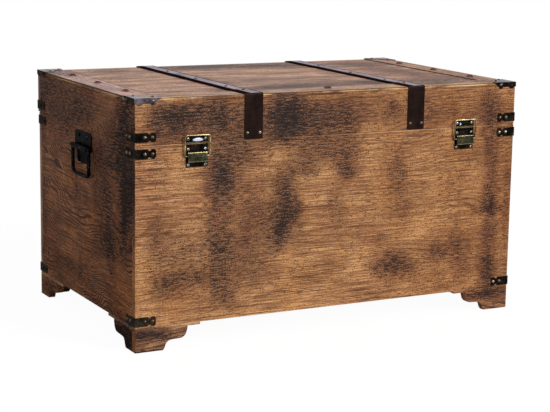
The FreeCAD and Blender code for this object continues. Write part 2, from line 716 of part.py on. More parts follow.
def latches():
    """Two draw latches and the pins of their levers."""
    pins = []
    for side, sign in sides:
        x = "%d * latch_x" % sign
        latch_base(side, x)
        latch_catch(side, x)
        latch_lever(side, x)
        latch_bail(side, x)
        reach = "lever_width / 2 + ear_gap + iron"
        shaft = rod(side + "_pin_shaft", "pin", "2 * (%s)" % reach,
                    (x + " - (%s)" % reach, "front - lever_stand", "lever_z"), "x")
        heads = [rod("%s_pin_head_%d" % (side, index), "pin_head", "pin",
                     (x + start, "front - lever_stand", "lever_z"), "x")
                 for index, start in enumerate((" - (%s) - pin" % reach, " + (%s)" % reach))]
        pins.append(joined(side + "_lever_pin", [shaft] + heads))
    node("latch_pins", grouped("latch_pin_set", pins))


def plate_outline():
    """Handle plate about the pivot: a narrow foot, hollow shoulders and a wide rounded head."""
    wide, waist, tall = mm("plate_width / 2"), mm("plate_waist / 2"), mm("plate_height / 2")
    right = [
        ((waist - 6, -tall, 0),), ((waist - 1.8, 1.8 - tall, 0), (waist, 6 - tall, 0)),
        ((waist, -tall * 0.45, 0),), ((waist + 3, -tall * 0.2, 0), (wide, 0, 0)),
        ((wide, tall - 9, 0),), ((wide - 2.6, tall - 2.6, 0), (wide - 9, tall, 0)),
    ]
    points = [(6 - waist, -tall, 0)] + [step[-1] for step in right]
    left = []
    for index in range(len(right) - 1, -1, -1):
        step = right[index]
        end = points[index]
        mirrored = (-end[0], end[1], 0) if index else (6 - waist, -tall, 0)
        left.append(((-step[0][0], step[0][1], 0), mirrored) if len(step) == 2 else (mirrored,))
    across = ((9 - wide, tall, 0),)
    return outline((6 - waist, -tall, 0), *right, across, *left)


def handle(side, sign):
    """One drop handle, drawn with its plate on a face at X = 0 that looks along -X."""
    body = doc.addObject("PartDesign::Body", side + "_plate_iron")
    padded(body, drawn(body, side + "_plate_outline", "YZ", plate_outline()), "plate_iron", away=True)
    start = ("-handle_stand", "-barrel_length / 2", "0")
    barrel = rod(side + "_barrel", "barrel", "barrel_length", start, "y")
    bore = rod(side + "_barrel_bore", "handle_rod", "barrel_length", start, "y")
    plate = less(side + "_handle_plate_cut", joined(side + "_handle_plate_whole", [body, barrel]), [bore])
    turn = 0 if sign < 0 else 180
    seat = ("%d * body_width / 2" % sign, "front + body_depth / 2", "pivot_z")
    node(side + "_handle_plate", put(plate, seat, turn), body_groups)
    grip = doc.addObject("PartDesign::Body", side + "_grip_bar")
    half, drop, bend = mm("handle_width / 2"), mm("handle_drop"), mm("handle_bend")
    short = bend * (1 - math.cos(math.radians(45)))
    steps = [((half, bend - drop, 0),), ((half - short, short - drop, 0), (half - bend, -drop, 0)),
             ((bend - half, -drop, 0),), ((short - half, short - drop, 0), (-half, bend - drop, 0)),
             ((-half, 0, 0),)]
    piped(grip, side + "_grip", mm("handle_grip"), "XY", (0, half, 0), outline((half, 0, 0), *steps)[:-1])
    moved = put(grip, ("-handle_stand", "0", "0"))
    eyes = [rod("%s_eye_%d" % (side, index), "eye", "eye_width",
                ("-handle_stand", "%d * handle_width / 2 - eye_width / 2" % hand, "0"), "y")
            for index, hand in enumerate((-1, 1))]
    hole = rod(side + "_eye_bore", "handle_rod + pin_play", "2 * handle_width",
               ("-handle_stand", "-handle_width", "0"), "y")
    bail = less(side + "_grip_cut", joined(side + "_grip_whole", [moved] + eyes), [hole])
    node(side + "_handle_bail", put(bail, seat, turn))
    reach = "(handle_width / 2 + eye_width / 2 + eye_gap)"
    start = ("-handle_stand", "-" + reach, "0")
    shaft = rod(side + "_rod_shaft", "handle_rod", "2 * " + reach, start, "y")
    heads = [rod("%s_rod_head_%d" % (side, index), "rod_head", "rod_rivet",
                 ("-handle_stand", start, "0"), "y")
             for index, start in enumerate(("-%s - rod_rivet" % reach, reach))]
    return put(joined(side + "_handle_rod_whole", [shaft] + heads), seat, turn)


def handles():
    """A drop handle on each end, its rod riveted through the plate's barrel and the bail's eyes."""
    rods = [handle(side, sign) for side, sign in sides]
    node("handle_rods", grouped("handle_rod_set", rods))


def hinge_leaf(name, x, z, knuckles):
    """A leaf with knuckles over some stretches of its length and room for the others."""
    low_x = x + " - hinge_length / 2"
    low_y = "hinge_y - leaf_width"
    plate = box(name + "_leaf", ("hinge_length", "leaf_width", "leaf"), (low_x, low_y, z))
    pieces, room = [plate], []
    for index, (start, length, own) in enumerate(knuckles):
        place = (low_x + " + " + start, "hinge_y", "hinge_z")
        if own:
            pieces.append(rod("%s_knuckle_%d" % (name, index), "knuckle", length, place, "x"))
        else:
            room.append(rod("%s_room_%d" % (name, index), "knuckle + knuckle_gap", length, place, "x"))
    bore = rod(name + "_bore", "hinge_pin + pin_play", "hinge_length", (low_x, "hinge_y", "hinge_z"), "x")
    return less(name + "_cut", joined(name + "_whole", pieces), room + [bore])


def hinges():
    """Two butt hinges let into the edges of the carcass and the lid behind, and their pins."""
    outer = "((hinge_length - lid_knuckle) / 2)"
    middle = outer + " - knuckle_gap"
    carcass_side = (("0", middle, True), (middle, "lid_knuckle + 2 * knuckle_gap", False),
                    (outer + " + lid_knuckle + knuckle_gap", middle, True))
    lid_side = (("0", outer, False), (outer, "lid_knuckle", True),
                (outer + " + lid_knuckle", outer, False))
    members = {"hinge_body_leaves": [], "hinge_lid_leaves": [], "hinge_pins": []}
    for side, sign in sides:
        x = "%d * hinge_x" % sign
        members["hinge_body_leaves"].append(hinge_leaf(side + "_low", x, "body_top - leaf", carcass_side))
        members["hinge_lid_leaves"].append(hinge_leaf(side + "_high", x, "lid_bottom", lid_side))
        start = (x + " - hinge_length / 2", "hinge_y", "hinge_z")
        pin = rod(side + "_hinge_pin", "hinge_pin", "hinge_length", start, "x")
        members["hinge_pins"].append(pin)
    bored_for = {"hinge_body_leaves": body_groups, "hinge_lid_leaves": lid_groups, "hinge_pins": ()}
    for name, groups in bored_for.items():
        node(name, grouped(name + "_set", members[name]), groups)


def check_and_write():
    """Stop on any failed object, then write one STEP file for each node."""
    doc.recompute()
    failed = [item.Name for item in doc.Objects if {"Invalid", "Error"} & set(item.State)]
    for name, item in nodes.items():
        if item.Shape.isNull() or not item.Shape.isValid() or not item.Shape.Solids:
            failed.append(name)
    if failed:
        raise RuntimeError("failed: " + ", ".join(failed))
    os.makedirs("parts", exist_ok=True)
    for name, item in nodes.items():
        item.Shape.exportStep("parts/%s.step" % name)
    whole = Part.makeCompound([item.Shape for item in nodes.values()]).BoundBox
    print(len(nodes), "nodes,", sum(len(item.Shape.Solids) for item in nodes.values()), "solids")
    print("lowest corner", whole.XMin, whole.YMin, whole.ZMin)
    print("highest corner", whole.XMax, whole.YMax, whole.ZMax)
    print("front", round(mm("front"), 3), "back", round(mm("back"), 3), "lid bottom", mm("lid_bottom"))


carcass()
feet()
lid_box()
lid_frame()
lid_planks()
straps()
bands()
caps()
latches()
handles()
hinges()
fasteners()
check_and_write()
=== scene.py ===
import bpy
import bmesh
import math
import numpy as np
from mathutils import Matrix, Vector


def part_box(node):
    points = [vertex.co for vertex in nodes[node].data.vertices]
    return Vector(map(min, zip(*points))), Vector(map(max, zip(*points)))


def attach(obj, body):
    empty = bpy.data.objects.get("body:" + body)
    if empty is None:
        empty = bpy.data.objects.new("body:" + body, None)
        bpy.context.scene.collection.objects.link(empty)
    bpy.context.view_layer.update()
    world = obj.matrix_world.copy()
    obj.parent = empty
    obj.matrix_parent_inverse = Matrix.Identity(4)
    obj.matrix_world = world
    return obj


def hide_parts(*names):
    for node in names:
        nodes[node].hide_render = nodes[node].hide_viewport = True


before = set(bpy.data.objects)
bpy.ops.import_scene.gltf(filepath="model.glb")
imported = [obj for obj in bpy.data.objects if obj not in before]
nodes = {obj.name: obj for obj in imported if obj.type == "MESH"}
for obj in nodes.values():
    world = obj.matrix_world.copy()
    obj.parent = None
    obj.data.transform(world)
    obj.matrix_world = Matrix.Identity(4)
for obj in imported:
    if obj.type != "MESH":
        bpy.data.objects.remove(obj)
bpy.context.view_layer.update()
scene = bpy.context.scene
print("frame loaded:", len(nodes), "nodes")


def planes(node):
    # the lowest and the highest corner of a node
    low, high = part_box(node)
    return np.array(low), np.array(high)


def addObject(name, data):
    made = bpy.data.objects.new(name, data)
    scene.collection.objects.link(made)
    return made


def stand(name, data, *columns):
    # an object whose axes and place are the columns
    made = addObject(name, data)
    made.matrix_world = Matrix(np.vstack([np.column_stack(columns), (0, 0, 0, 1)]).tolist())
    return made


frontLow, frontHigh = planes("front_board")
chest = {"left": frontLow[0], "right": frontHigh[0], "front": frontLow[1], "bodyTop": frontHigh[2],
         "back": planes("back_board")[1][1], "lidBack": planes("lid_back_rail")[1][1],
         "lidBottom": planes("lid_front_rail")[0][2], "lidTop": planes("lid_front_frame")[1][2],
         "panelTop": planes("lid_plank_1")[1][2], "frontFrame": 0.060, "endFrame": 0.052}
cornerNames = {"frontLeft": "front_left", "frontRight": "front_right",
               "backRight": "back_right", "backLeft": "back_left"}

# camera: focal length and centre in pixels at this width
camera = {"place": (-1.53066, -2.92882, 0.83553), "yaw": 0.5082, "pitch": 0.18892, "roll": 0.02043,
          "focal": 1605.26, "centre": 315.31, "width": 550, "sensor": 36}


def makeCamera(view):
    yaw, pitch, roll = view["yaw"], view["pitch"], view["roll"]
    ahead = np.array([math.sin(yaw) * math.cos(pitch), math.cos(yaw) * math.cos(pitch), -math.sin(pitch)])
    level = np.array([math.cos(yaw), -math.sin(yaw), 0])
    upright = np.cross(level, ahead)
    right = math.cos(roll) * level + math.sin(roll) * upright
    up = math.cos(roll) * upright - math.sin(roll) * level
    data = bpy.data.cameras.new("camera")
    data.sensor_fit, data.sensor_width = "HORIZONTAL", view["sensor"]
    data.lens = view["focal"] / view["width"] * view["sensor"]
    data.shift_x = (view["width"] / 2 - view["centre"]) / view["width"]
    scene.camera = stand("camera", data, right, up, -ahead, view["place"])


makeCamera(camera)
scene.view_settings.view_transform = "Standard"
print("camera set")


def tint(red, green, blue):
    # a screen colour, 0 to 255, as the linear colour of a socket
    shares = [v / 255 for v in (red, green, blue)]
    return tuple(v / 12.92 if v < 0.04045 else ((v + 0.055) / 1.055) ** 2.4 for v in shares) + (1,)


def grey(share):
    return (share, share, share, 1)


class Link:
    # one value in a material; arithmetic on it adds Math nodes
    def __init__(self, shade, socket):
        self.shade, self.socket = shade, socket

    def math(self, operation, *values, first=None):
        pair = [self, *values] if first is None else [first, self]
        return self.shade.add("ShaderNodeMath", dict(operation=operation), pair)

    def __add__(self, other): return self.math("ADD", other)
    def __sub__(self, other): return self.math("SUBTRACT", other)
    def __rsub__(self, other): return self.math("SUBTRACT", first=other)
    def __mul__(self, other): return self.math("MULTIPLY", other)
    def __pow__(self, other): return self.math("POWER", other)
    __radd__, __rmul__ = __add__, __mul__
    def size(self): return self.math("ABSOLUTE")
    def wave(self): return self.math("SINE")
    def most(self, other): return self.math("MAXIMUM", other)
    def least(self, other): return self.math("MINIMUM", other)

    def step(self, low, high):
        # 0 below low, 1 above high, smooth between
        return self.shade.add("ShaderNodeMapRange", dict(interpolation_type="SMOOTHSTEP"),
                              {0: self, 1: low, 2: high, 3: 0, 4: 1})


class Shade:
    # the nodes of a material or of the sky, under construction
    def __init__(self, owner, output="ShaderNodeOutputMaterial"):
        owner.use_nodes = True
        self.owner, self.tree = owner, owner.node_tree
        self.tree.nodes.clear()
        self.output = self.tree.nodes.new(output)

    def add(self, kind, settings=None, values=None, out=0):
        # any node: settings first, then its sockets' values or links; gives one of its outputs
        node = self.tree.nodes.new(kind)
        for key, value in (settings or {}).items():
            if key == "stops":
                while len(node.color_ramp.elements) < len(value):
                    node.color_ramp.elements.new(0.5)
                for element, (place, colour) in zip(node.color_ramp.elements, value):
                    element.position, element.color = place, colour
            else:
                setattr(node, key, value)
        for key, value in (enumerate(values) if isinstance(values, (list, tuple)) else (values or {}).items()):
            if isinstance(value, Link):
                self.tree.links.new(value.socket, node.inputs[key])
            else:
                node.inputs[key].default_value = value
        return Link(self, node.outputs[out])

    def split(self, vector):
        node = self.add("ShaderNodeSeparateXYZ", {}, [vector]).socket.node
        return [Link(self, socket) for socket in node.outputs]

    def place(self):
        return self.split(self.add("ShaderNodeTexCoord", out="Object"))

    def attribute(self, name):
        return self.split(self.add("ShaderNodeAttribute", dict(attribute_name=name), out="Vector"))

    def noise(self, parts, scales, detail=3, rough=0.5):
        # noise round 0, scaled along each of three values
        vector = self.add("ShaderNodeCombineXYZ", {}, [part * scale for part, scale in zip(parts, scales)])
        return self.add("ShaderNodeTexNoise", {}, {"Vector": vector, "Scale": 1, "Detail": detail,
                                                   "Roughness": rough}) - 0.5

    def mix(self, factor, first, second, blend="MIX"):
        # each colour is a link or three numbers, 0 to 255
        first, second = (colour if isinstance(colour, Link) else tint(*colour) for colour in (first, second))
        return self.add("ShaderNodeMix", dict(data_type="RGBA", blend_type=blend), {0: factor, 6: first, 7: second}, 2)

    def wash(self, factor, colour, stain):
        # the colour seen through a stain
        return self.mix(factor, colour, self.mix(1, colour, stain, "MULTIPLY"))

    def ramp(self, factor, *stops):
        return self.add("ShaderNodeValToRGB", dict(stops=stops), [factor])

    def bump(self, height, distance, strength):
        return self.add("ShaderNodeBump", {}, {"Height": height, "Distance": distance, "Strength": strength})

    def end(self, surface):
        self.tree.links.new(surface.socket, self.output.inputs[0])
        return self.owner

    def finish(self, **sockets):
        values = {name.replace("_", " "): value for name, value in sockets.items()}
        return self.end(self.add("ShaderNodeBsdfPrincipled", {}, values))


# light, floor and sky
light = {"sky": 0.46, "key": 2.7, "keySpread": 0.5, "keyFrom": (0.42, -0.80, 0.47), "keyHeight": 3,
         "floorSize": 6, "floorWhite": 0.8, "floorGlow": 0.94, "glow": 1.025}


def makeSky(setup):
    # white where it is seen, dimmer as a light
    scene.world = bpy.data.worlds.new("sky")
    sky = Shade(scene.world, "ShaderNodeOutputWorld")
    rays = sky.tree.nodes.new("ShaderNodeLightPath").outputs
    direct, shine, through = (Link(sky, rays["Is %s Ray" % kind]) for kind in ("Camera", "Glossy", "Transmission"))
    strength = direct.most(shine).most(through) * (1 - setup["sky"]) + setup["sky"]
    sky.end(sky.add("ShaderNodeBackground", {}, {"Color": grey(1), "Strength": strength}))


def makeKey(setup):
    data = bpy.data.lights.new("key", "SUN")
    data.energy, data.angle = setup["key"], setup["keySpread"]
    toward = np.array(setup["keyFrom"]) / np.linalg.norm(setup["keyFrom"])
    side = np.cross((0, 0, 1), toward)
    side /= np.linalg.norm(side)
    stand("key", data, side, np.cross(toward, side), toward, (0, 0, setup["keyHeight"]))


def makeFloor(setup):
    size = setup["floorSize"]
    mesh = bpy.data.meshes.new("floor")
    mesh.from_pydata([(-size, -size, 0), (size, -size, 0), (size, size, 0), (-size, size, 0)], [], [(0, 1, 2, 3)])
    addObject("floor", mesh)
    shade = Shade(bpy.data.materials.new("paleFloor"))
    paint = shade.add("ShaderNodeBsdfDiffuse", {}, {"Color": grey(setup["floorWhite"])})
    glow = shade.add("ShaderNodeEmission", {}, {"Color": grey(1), "Strength": setup["glow"]})
    seen = shade.add("ShaderNodeLightPath", out="Is Camera Ray") * setup["floorGlow"]
    mesh.materials.append(shade.end(shade.add("ShaderNodeMixShader", {}, {0: seen, 1: paint, 2: glow})))


makeSky(light)
makeKey(light)
makeFloor(light)
print("light and floor set")


# surfaces
def sectionLoop(steps, corner, band):
    # unit section, clockwise: how far along its half sizes each point sits, then its offset in corner radii
    side = np.concatenate([[-1, -1], np.linspace(-1, 1, steps)[1:-1], [1, 1]])
    slip = np.concatenate([[0, band], np.zeros(steps - 2), [-band, 0]])
    arc = np.linspace(0, math.pi / 2, corner + 1)[1:-1]
    many, flat = np.ones(len(arc)), np.ones(len(side))
    sin, cos = np.sin(arc), np.cos(arc)
    sx = np.concatenate([side, many, [1, 1], many, -side, -many, [-1, -1], -many])
    sy = np.concatenate([flat, many, [1, -1], -many, -flat, -many, [-1, 1], many])
    cx = np.concatenate([slip, sin, [1, 1], cos, -slip, -sin, [-1, -1], -cos])
    cy = np.concatenate([flat, cos, [0, 0], -sin, -flat, -cos, [0, 0], sin])
    return sx, sy, cx, cy


def carry(centre, across, normal, half, thick, radius, steps, corner=3, band=2.0, swell=None):
    # a rounded flat section along a line: centre + across * x + normal * y, where x and y are its half sizes less
    # the corner's radius, plus the corner's arc; swell raises the upper face
    sx, sy, cx, cy = sectionLoop(steps, corner, band)
    half, thick, radius = (np.broadcast_to(v, len(centre))[:, None] for v in (half, thick, radius))
    across, normal = (np.broadcast_to(v, centre.shape)[:, None] for v in (across, normal))
    x = sx * (half - radius) + cx * radius
    y = sy * (thick - radius) + cy * radius
    if swell is not None:
        y = y + swell(x) * (sy > 0) * (cy > 0)
    points = centre[:, None] + across * x[..., None] + normal * y[..., None]
    index, faces = gridFaces(*points.shape[:2])
    flat, arc = steps + 2, corner - 1
    top, bottom = np.arange(flat), flat + 2 * arc + 2 + np.arange(flat)[::-1]
    caps = [np.stack([row[top[:-1]], row[top[1:]], row[bottom[1:]], row[bottom[:-1]]], -1)[:, ::turn]
            for row, turn in ((index[0], -1), (index[-1], 1))]
    return points.reshape(-1, 3), np.concatenate([faces, *caps])


def gridFaces(rows, count, start=0):
    # a grid's point numbers, and the faces between its rows, which are loops
    index = np.arange(rows * count).reshape(rows, count) + start
    ahead = np.roll(index, -1, axis=1)
    return index, np.stack([index[:-1], ahead[:-1], ahead[1:], index[1:]], -1).reshape(-1, 4)


def quarter(radius):
    # a quarter circle in four stations: how far in each sits, and how much its section is drawn in
    turn = np.linspace(0, math.pi / 2, 4)
    return radius * (1 - np.cos(turn)), radius * (1 - np.sin(turn))


def ends(length, radius, pitch, band=0.0025):
    # the stations along a board, and how much its section is drawn in at each: a quarter circle at both ends
    start, inset = quarter(radius)
    middle = np.linspace(radius + band, length - radius - band, max(int(length / pitch), 2))
    stations = np.concatenate([start, middle, length - start[::-1]])
    return stations, np.concatenate([inset, np.zeros(len(middle)), inset[::-1]])


def merged(mesh, gap=1e-6):
    # a mesh opened for work, its near points merged
    work = bmesh.new()
    work.from_mesh(mesh)
    if gap:
        bmesh.ops.remove_doubles(work, verts=work.verts, dist=gap)
    return work


def weld(mesh, gap=0):
    # all faces turned outwards
    work = merged(mesh, gap)
    bmesh.ops.recalc_face_normals(work, faces=work.faces)
    work.to_mesh(mesh)
    work.free()


def paint(mesh, finishes, pick=None):
    # pick gives a finish's number by a face's place and normal
    mesh.materials.clear()
    for material in finishes:
        mesh.materials.append(material)
    for polygon in mesh.polygons if pick else ():
        polygon.material_index = pick(polygon.center, polygon.normal)


def settle(name, mesh, body, node):
    made = addObject(name, mesh)
    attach(made, body)
    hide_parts(node)
    return made


def makePiece(name, points, faces, body, material, node):
    mesh = bpy.data.meshes.new(name)
    mesh.from_pydata(points.tolist(), [], faces.tolist())
    weld(mesh, 2e-6)
    mesh.shade_smooth()
    mesh.materials.append(material)
    return settle(name, mesh, body, node)


def readRows(source, name):
    values = np.zeros(len(source) * 3, np.float32)
    source.foreach_get(name, values)
    return values.reshape(-1, 3).astype(float)


def writeAttribute(mesh, name, *columns):
    layer = mesh.attributes.new(name, "FLOAT_VECTOR", "POINT")
    layer.data.foreach_set("vector", np.stack(columns, -1).astype(np.float32).ravel())


# where the flame darkened the wood, on each face: centre and reach along and up in mm, and strength
scorches = {
    "front": [
        (95, 438, 60, 24, 0.85), (128, 455, 40, 14, 0.4), (60, 450, 30, 16, 0.35), (60, 425, 60, 35, 0.5),
        (150, 425, 30, 40, 0.45), (190, 428, 44, 50, 0.78), (250, 430, 34, 30, 0.5), (312, 438, 38, 46, 1.3),
        (300, 400, 40, 26, 0.6), (372, 428, 46, 42, 0.8), (425, 420, 34, 44, 0.6), (480, 425, 50, 40, 0.3),
        (547, 433, 25, 28, 0.62), (620, 430, 45, 40, 0.35), (782, 425, 28, 50, 0.75), (248, 362, 48, 26, 0.25),
        (212, 375, 30, 30, 0.5), (375, 365, 60, 34, 0.55), (176, 345, 30, 40, 0.8), (176, 300, 36, 34, 0.6),
        (170, 235, 32, 66, 0.65), (180, 165, 38, 50, 0.6), (172, 105, 34, 40, 0.5), (192, 85, 26, 30, 0.25),
        (300, 305, 20, 24, 0.35), (310, 266, 20, 54, 0.8), (302, 208, 20, 34, 0.85), (330, 246, 20, 30, 0.7),
        (448, 316, 22, 17, 0.8), (430, 350, 50, 18, 0.4), (40, 215, 24, 78, 0.4), (92, 180, 50, 60, 0.5),
        (90, 132, 60, 20, 0.45), (50, 110, 40, 20, 0.3), (248, 220, 36, 90, 0.55), (255, 120, 30, 30, 0.25),
        (346, 110, 30, 22, 0.3), (345, 190, 20, 30, 0.22), (278, 190, 18, 60, 0.3), (562, 300, 32, 50, 0.45),
        (575, 230, 30, 30, 0.25), (552, 122, 34, 26, 0.68), (590, 108, 24, 18, 0.4), (520, 112, 30, 22, 0.25),
        (590, 105, 60, 34, 0.2), (664, 134, 24, 16, 0.55), (722, 130, 28, 34, 0.5), (722, 80, 30, 30, 0.3),
        (690, 270, 24, 34, 0.15), (788, 340, 20, 60, 0.6), (788, 240, 20, 34, 0.95), (782, 214, 34, 11, 0.8),
        (790, 165, 20, 36, 0.55), (788, 100, 20, 36, 1), (790, 66, 16, 22, 0.8), (420, 250, 26, 50, 0.35),
        (355, 325, 40, 24, 0.4), (680, 230, 190, 260, 0.2), (18, 36, 38, 10, 1.7), (44, 27, 40, 9, 0.9),
        (14, 14, 18, 8, 0.4), (30, 1, 60, 3, 1.6), (100, 16, 24, 6, 1), (770, 36, 40, 12, 1.3),
        (820, 30, 40, 20, 0.45), (832, 250, 14, 200, 0.4), (700, 420, 30, 24, 0.35), (90, 400, 26, 16, 0.3),
    ],
    "side": [
        (50, 445, 34, 36, 1), (50, 372, 38, 60, 1.3), (42, 290, 34, 50, 1.15), (48, 235, 30, 54, 0.95),
        (58, 180, 24, 40, 0.45), (128, 200, 34, 44, 0.85), (160, 262, 50, 40, 0.5), (120, 160, 30, 30, 0.5),
        (135, 285, 34, 34, 0.35), (470, 443, 50, 40, 0.9), (500, 380, 22, 60, 0.7), (400, 450, 50, 22, 0.4),
        (290, 430, 90, 34, 0.65), (255, 470, 60, 12, 0.3), (430, 370, 60, 40, 0.4), (360, 380, 50, 40, 0.5),
        (310, 95, 100, 24, 0.35), (110, 120, 30, 16, 0.15), (95, 388, 30, 34, 0.5), (360, 100, 60, 16, 0.3),
        (200, 330, 40, 60, 0.3), (130, 350, 60, 60, 0.5), (190, 170, 40, 40, 0.45), (495, 200, 20, 120, 0.3),
        (275, 410, 40, 24, 0.3), (300, 250, 60, 40, 0.25), (50, 22, 62, 24, 2.6), (480, 20, 30, 16, 0.6),
        (440, 30, 30, 20, 0.5), (20, 330, 20, 90, 0.5), (6, 400, 10, 70, 0.9), (6, 300, 10, 60, 0.7),
    ],
    "top": [
        (350, 92, 75, 36, 1), (540, 112, 70, 34, 0.9), (440, 100, 40, 20, 0.3), (345, 480, 90, 44, 1.5),
        (500, 460, 80, 46, 1.2), (728, 240, 60, 150, 0.75), (720, 430, 70, 60, 0.7), (690, 85, 70, 34, 0.85),
        (780, 110, 30, 60, 0.5), (140, 470, 50, 34, 0.8), (120, 86, 50, 18, 0.7), (620, 105, 60, 24, 0.3),
        (240, 80, 50, 24, 0.5), (270, 250, 20, 120, 0.35), (300, 180, 40, 40, 0.3), (600, 300, 40, 90, 0.2),
        (100, 330, 40, 40, 0.3), (570, 420, 40, 60, 0.35), (470, 84, 80, 26, 0.8), (340, 84, 50, 20, 0.5),
        (556, 280, 26, 50, 0.5), (562, 90, 26, 30, 0.5), (670, 320, 50, 36, 0.45), (670, 34, 60, 22, 0.8),
        (790, 26, 34, 20, 0.8), (26, 450, 30, 70, 0.9), (26, 300, 20, 50, 0.5), (30, 150, 20, 40, 0.5),
        (430, 150, 60, 40, 0.35), (200, 60, 60, 20, 0.3),
    ],
}
# painted shade on the riser of the lid's frame and in the corner below it, and the feet's paler front ends: mm, and
# strengths
zonesAndRiserShade = {"endZone": 40, "footTop": 42, "footDeep": 14.5, "footEnds": 0.12, "panel": 466, "frame": 58,
         "reach": (-0.5, 12), "riser": 3.0, "corner": 1.1, "fall": 3.0}


def scorchAndShadeAt(points, normals):
    # a sum of soft ellipses on each face; the unseen faces take their opposites' turned round
    x, y, z = points.T
    outX, outY, outZ = normals.T
    width, depth = 1000 * (chest["right"] - chest["left"]), 1000 * (chest["back"] - chest["front"])
    along, deep, high = (x - chest["left"]) * 1000, (y - chest["front"]) * 1000, z * 1000
    looks = {
        "front": [(along, high, -outY * (y < 0)), (width - along, high, outY * (y > 0))],
        "side": [(deep, high, -outX * (along < zonesAndRiserShade["endZone"])),
                 (depth - deep, high, outX * (along > width - zonesAndRiserShade["endZone"]))],
        "top": [(along, deep, outZ * (z > chest["panelTop"] - 0.001))],
    }
    found = np.zeros(len(points))
    for face, sides in looks.items():
        for first, second, facing in sides:
            seen = np.clip((facing - 0.4) * 3, 0, 1)
            for a, b, reachA, reachB, strength in scorches[face]:
                found += seen * strength * np.exp(-((first - a) / reachA) ** 2 - ((second - b) / reachB) ** 2)
    upright = np.abs(outX) > 0.5
    found[(high < zonesAndRiserShade["footTop"]) & (deep < zonesAndRiserShade["footDeep"]) & upright] *= zonesAndRiserShade["footEnds"]
    # painted shade: the riser of the lid's side frames goes dark, and the planks beside it darken into the corner
    inner = (chest["right"] - chest["endFrame"] - np.abs(x)) * 1000
    near, far = zonesAndRiserShade["reach"]
    shaded = (high > zonesAndRiserShade["panel"]) & (deep > zonesAndRiserShade["frame"]) & (inner > near) & (inner < far)
    fading = np.exp(-(inner / zonesAndRiserShade["fall"]) ** 2) * zonesAndRiserShade["corner"]
    return found + shaded * np.where(upright, zonesAndRiserShade["riser"], fading)


def cut(made, cutter):
    # take a closed form out of a board
    change = made.modifiers.new("cut", "BOOLEAN")
    change.operation, change.solver, change.object = "DIFFERENCE", "EXACT", cutter
    graph = bpy.context.evaluated_depsgraph_get()
    mesh = bpy.data.meshes.new_from_object(made.evaluated_get(graph))
    made.modifiers.clear()
    made.data = mesh
    mesh.shade_smooth()
    mesh.set_sharp_from_angle(angle=math.radians(40))
    bpy.data.objects.remove(cutter)


# a board: where its figure starts along, across and through it, its stain, the wear of its arrises and of those at
# its ends, the arris's radius, the spacing of its rows, and how far wear reaches in and from the chest's edges
board = {"shift": (0, 0, 0), "stain": 0.1, "worn": 0.5, "endWorn": None, "radius": 0.0009, "pitch": 0.009,
         "wornWide": 0.0012, "outerWide": 0.0025}


def plank(name, node, grain, through, body, material, look, lower=None, cutters=(), sides=None):
    # a section with rounded arrises along the grain of the node's box; lower is its lower edge over the length
    look = {**board, **look}
    radius, pitch = look["radius"], look["pitch"]
    low, high = planes(node)
    across = 3 - grain - through
    length, width, thick = ((high - low)[axis] for axis in (grain, across, through))
    along, shrink = ends(length, radius, pitch)
    unit = np.eye(3)
    bottom = np.zeros(len(along)) if lower is None else lower(along)
    middle = low + unit[through] * thick / 2
    centre = middle + unit[grain] * along[:, None] + unit[across] * ((width + bottom) / 2)[:, None]
    points, faces = carry(centre, unit[across], unit[through], (width - bottom) / 2 - shrink, thick / 2 - shrink,
                          np.maximum(radius - shrink, 1e-7), max(int(width / pitch), 3))
    made = makePiece(name, points, faces, body, material, node)
    for cutter in cutters:
        cut(made, cutter)
    if sides:
        # the narrow faces, and the underside of a level board, take another finish
        paint(made.data, (material, sides), lambda at, out: (out[2] if through == 2 else abs(out[through])) < 0.7)
    mesh = made.data
    points, normals = readRows(mesh.vertices, "co"), readRows(mesh.vertex_normals, "vector")
    # "grain" is the place along, across and through the board, shifted so that no two boards match
    first, second, third = look["shift"]
    writeAttribute(mesh, "grain", points[:, grain] + first, points[:, across] + second,
                   points[:, through] + third - low[through])
    # "mark" holds scorching with painted shade at the lid frame's riser, stain, and wear on the chest's own arrises
    x, y, z = points.T
    inside = np.minimum.reduce([x - chest["left"], chest["right"] - x, y - chest["front"], np.abs(y - chest["back"]),
                                np.abs(y - chest["lidBack"]), np.abs(z - chest["lidTop"])])
    outer = np.clip(1.6 - inside / look["outerWide"], 0, 1)
    edge = np.clip(1.5 - np.minimum(points - low, high - points) / look["wornWide"], 0, 1)
    endWorn = look["worn"] if look["endWorn"] is None else look["endWorn"]
    worn = np.maximum(edge[:, across] * look["worn"], edge[:, grain] * endWorn) * outer
    writeAttribute(mesh, "mark", scorchAndShadeAt(points, normals), np.full(len(x), look["stain"]), worn)


# wood: colours; rings' pitch, strength and swirl; bands and clouds; the burns' texture; brushing, bare arris, gloss
pine = {"pale": (206, 158, 108), "mid": (161, 114, 74), "deep": (102, 67, 45), "line": (54, 34, 24),
        "bare": (208, 168, 122), "fibre": (150, 112, 88), "char": (34, 26, 28), "ringPitch": 0.0075, "rings": 0.22,
        "swirl": 1.0, "bands": 0.3, "cloudy": 0.5, "crisp": 1.15, "raised": 0.46, "lift": 0.0, "brushed": 0.7,
        "lip": 0.8, "gloss": 0.16}
sidePine = dict(pine, pale=(190, 134, 92), mid=(142, 96, 64), deep=(84, 55, 38), fibre=(146, 98, 70), char=(16, 9, 7),
                rings=0.6, swirl=1.9, cloudy=0.9, crisp=1.6, raised=0.62, lift=0.02, lip=0.45, gloss=0.03)
# the top's pine is paler than the front's: partly its own colour, partly painted sheen in place of the grazing
# reflection
topPineAndSheen = dict(pine, pale=(252, 212, 176), mid=(198, 152, 120), deep=(112, 78, 64), char=(58, 34, 30), rings=0.2,
               bands=1.5, brushed=1.5, gloss=0.22)
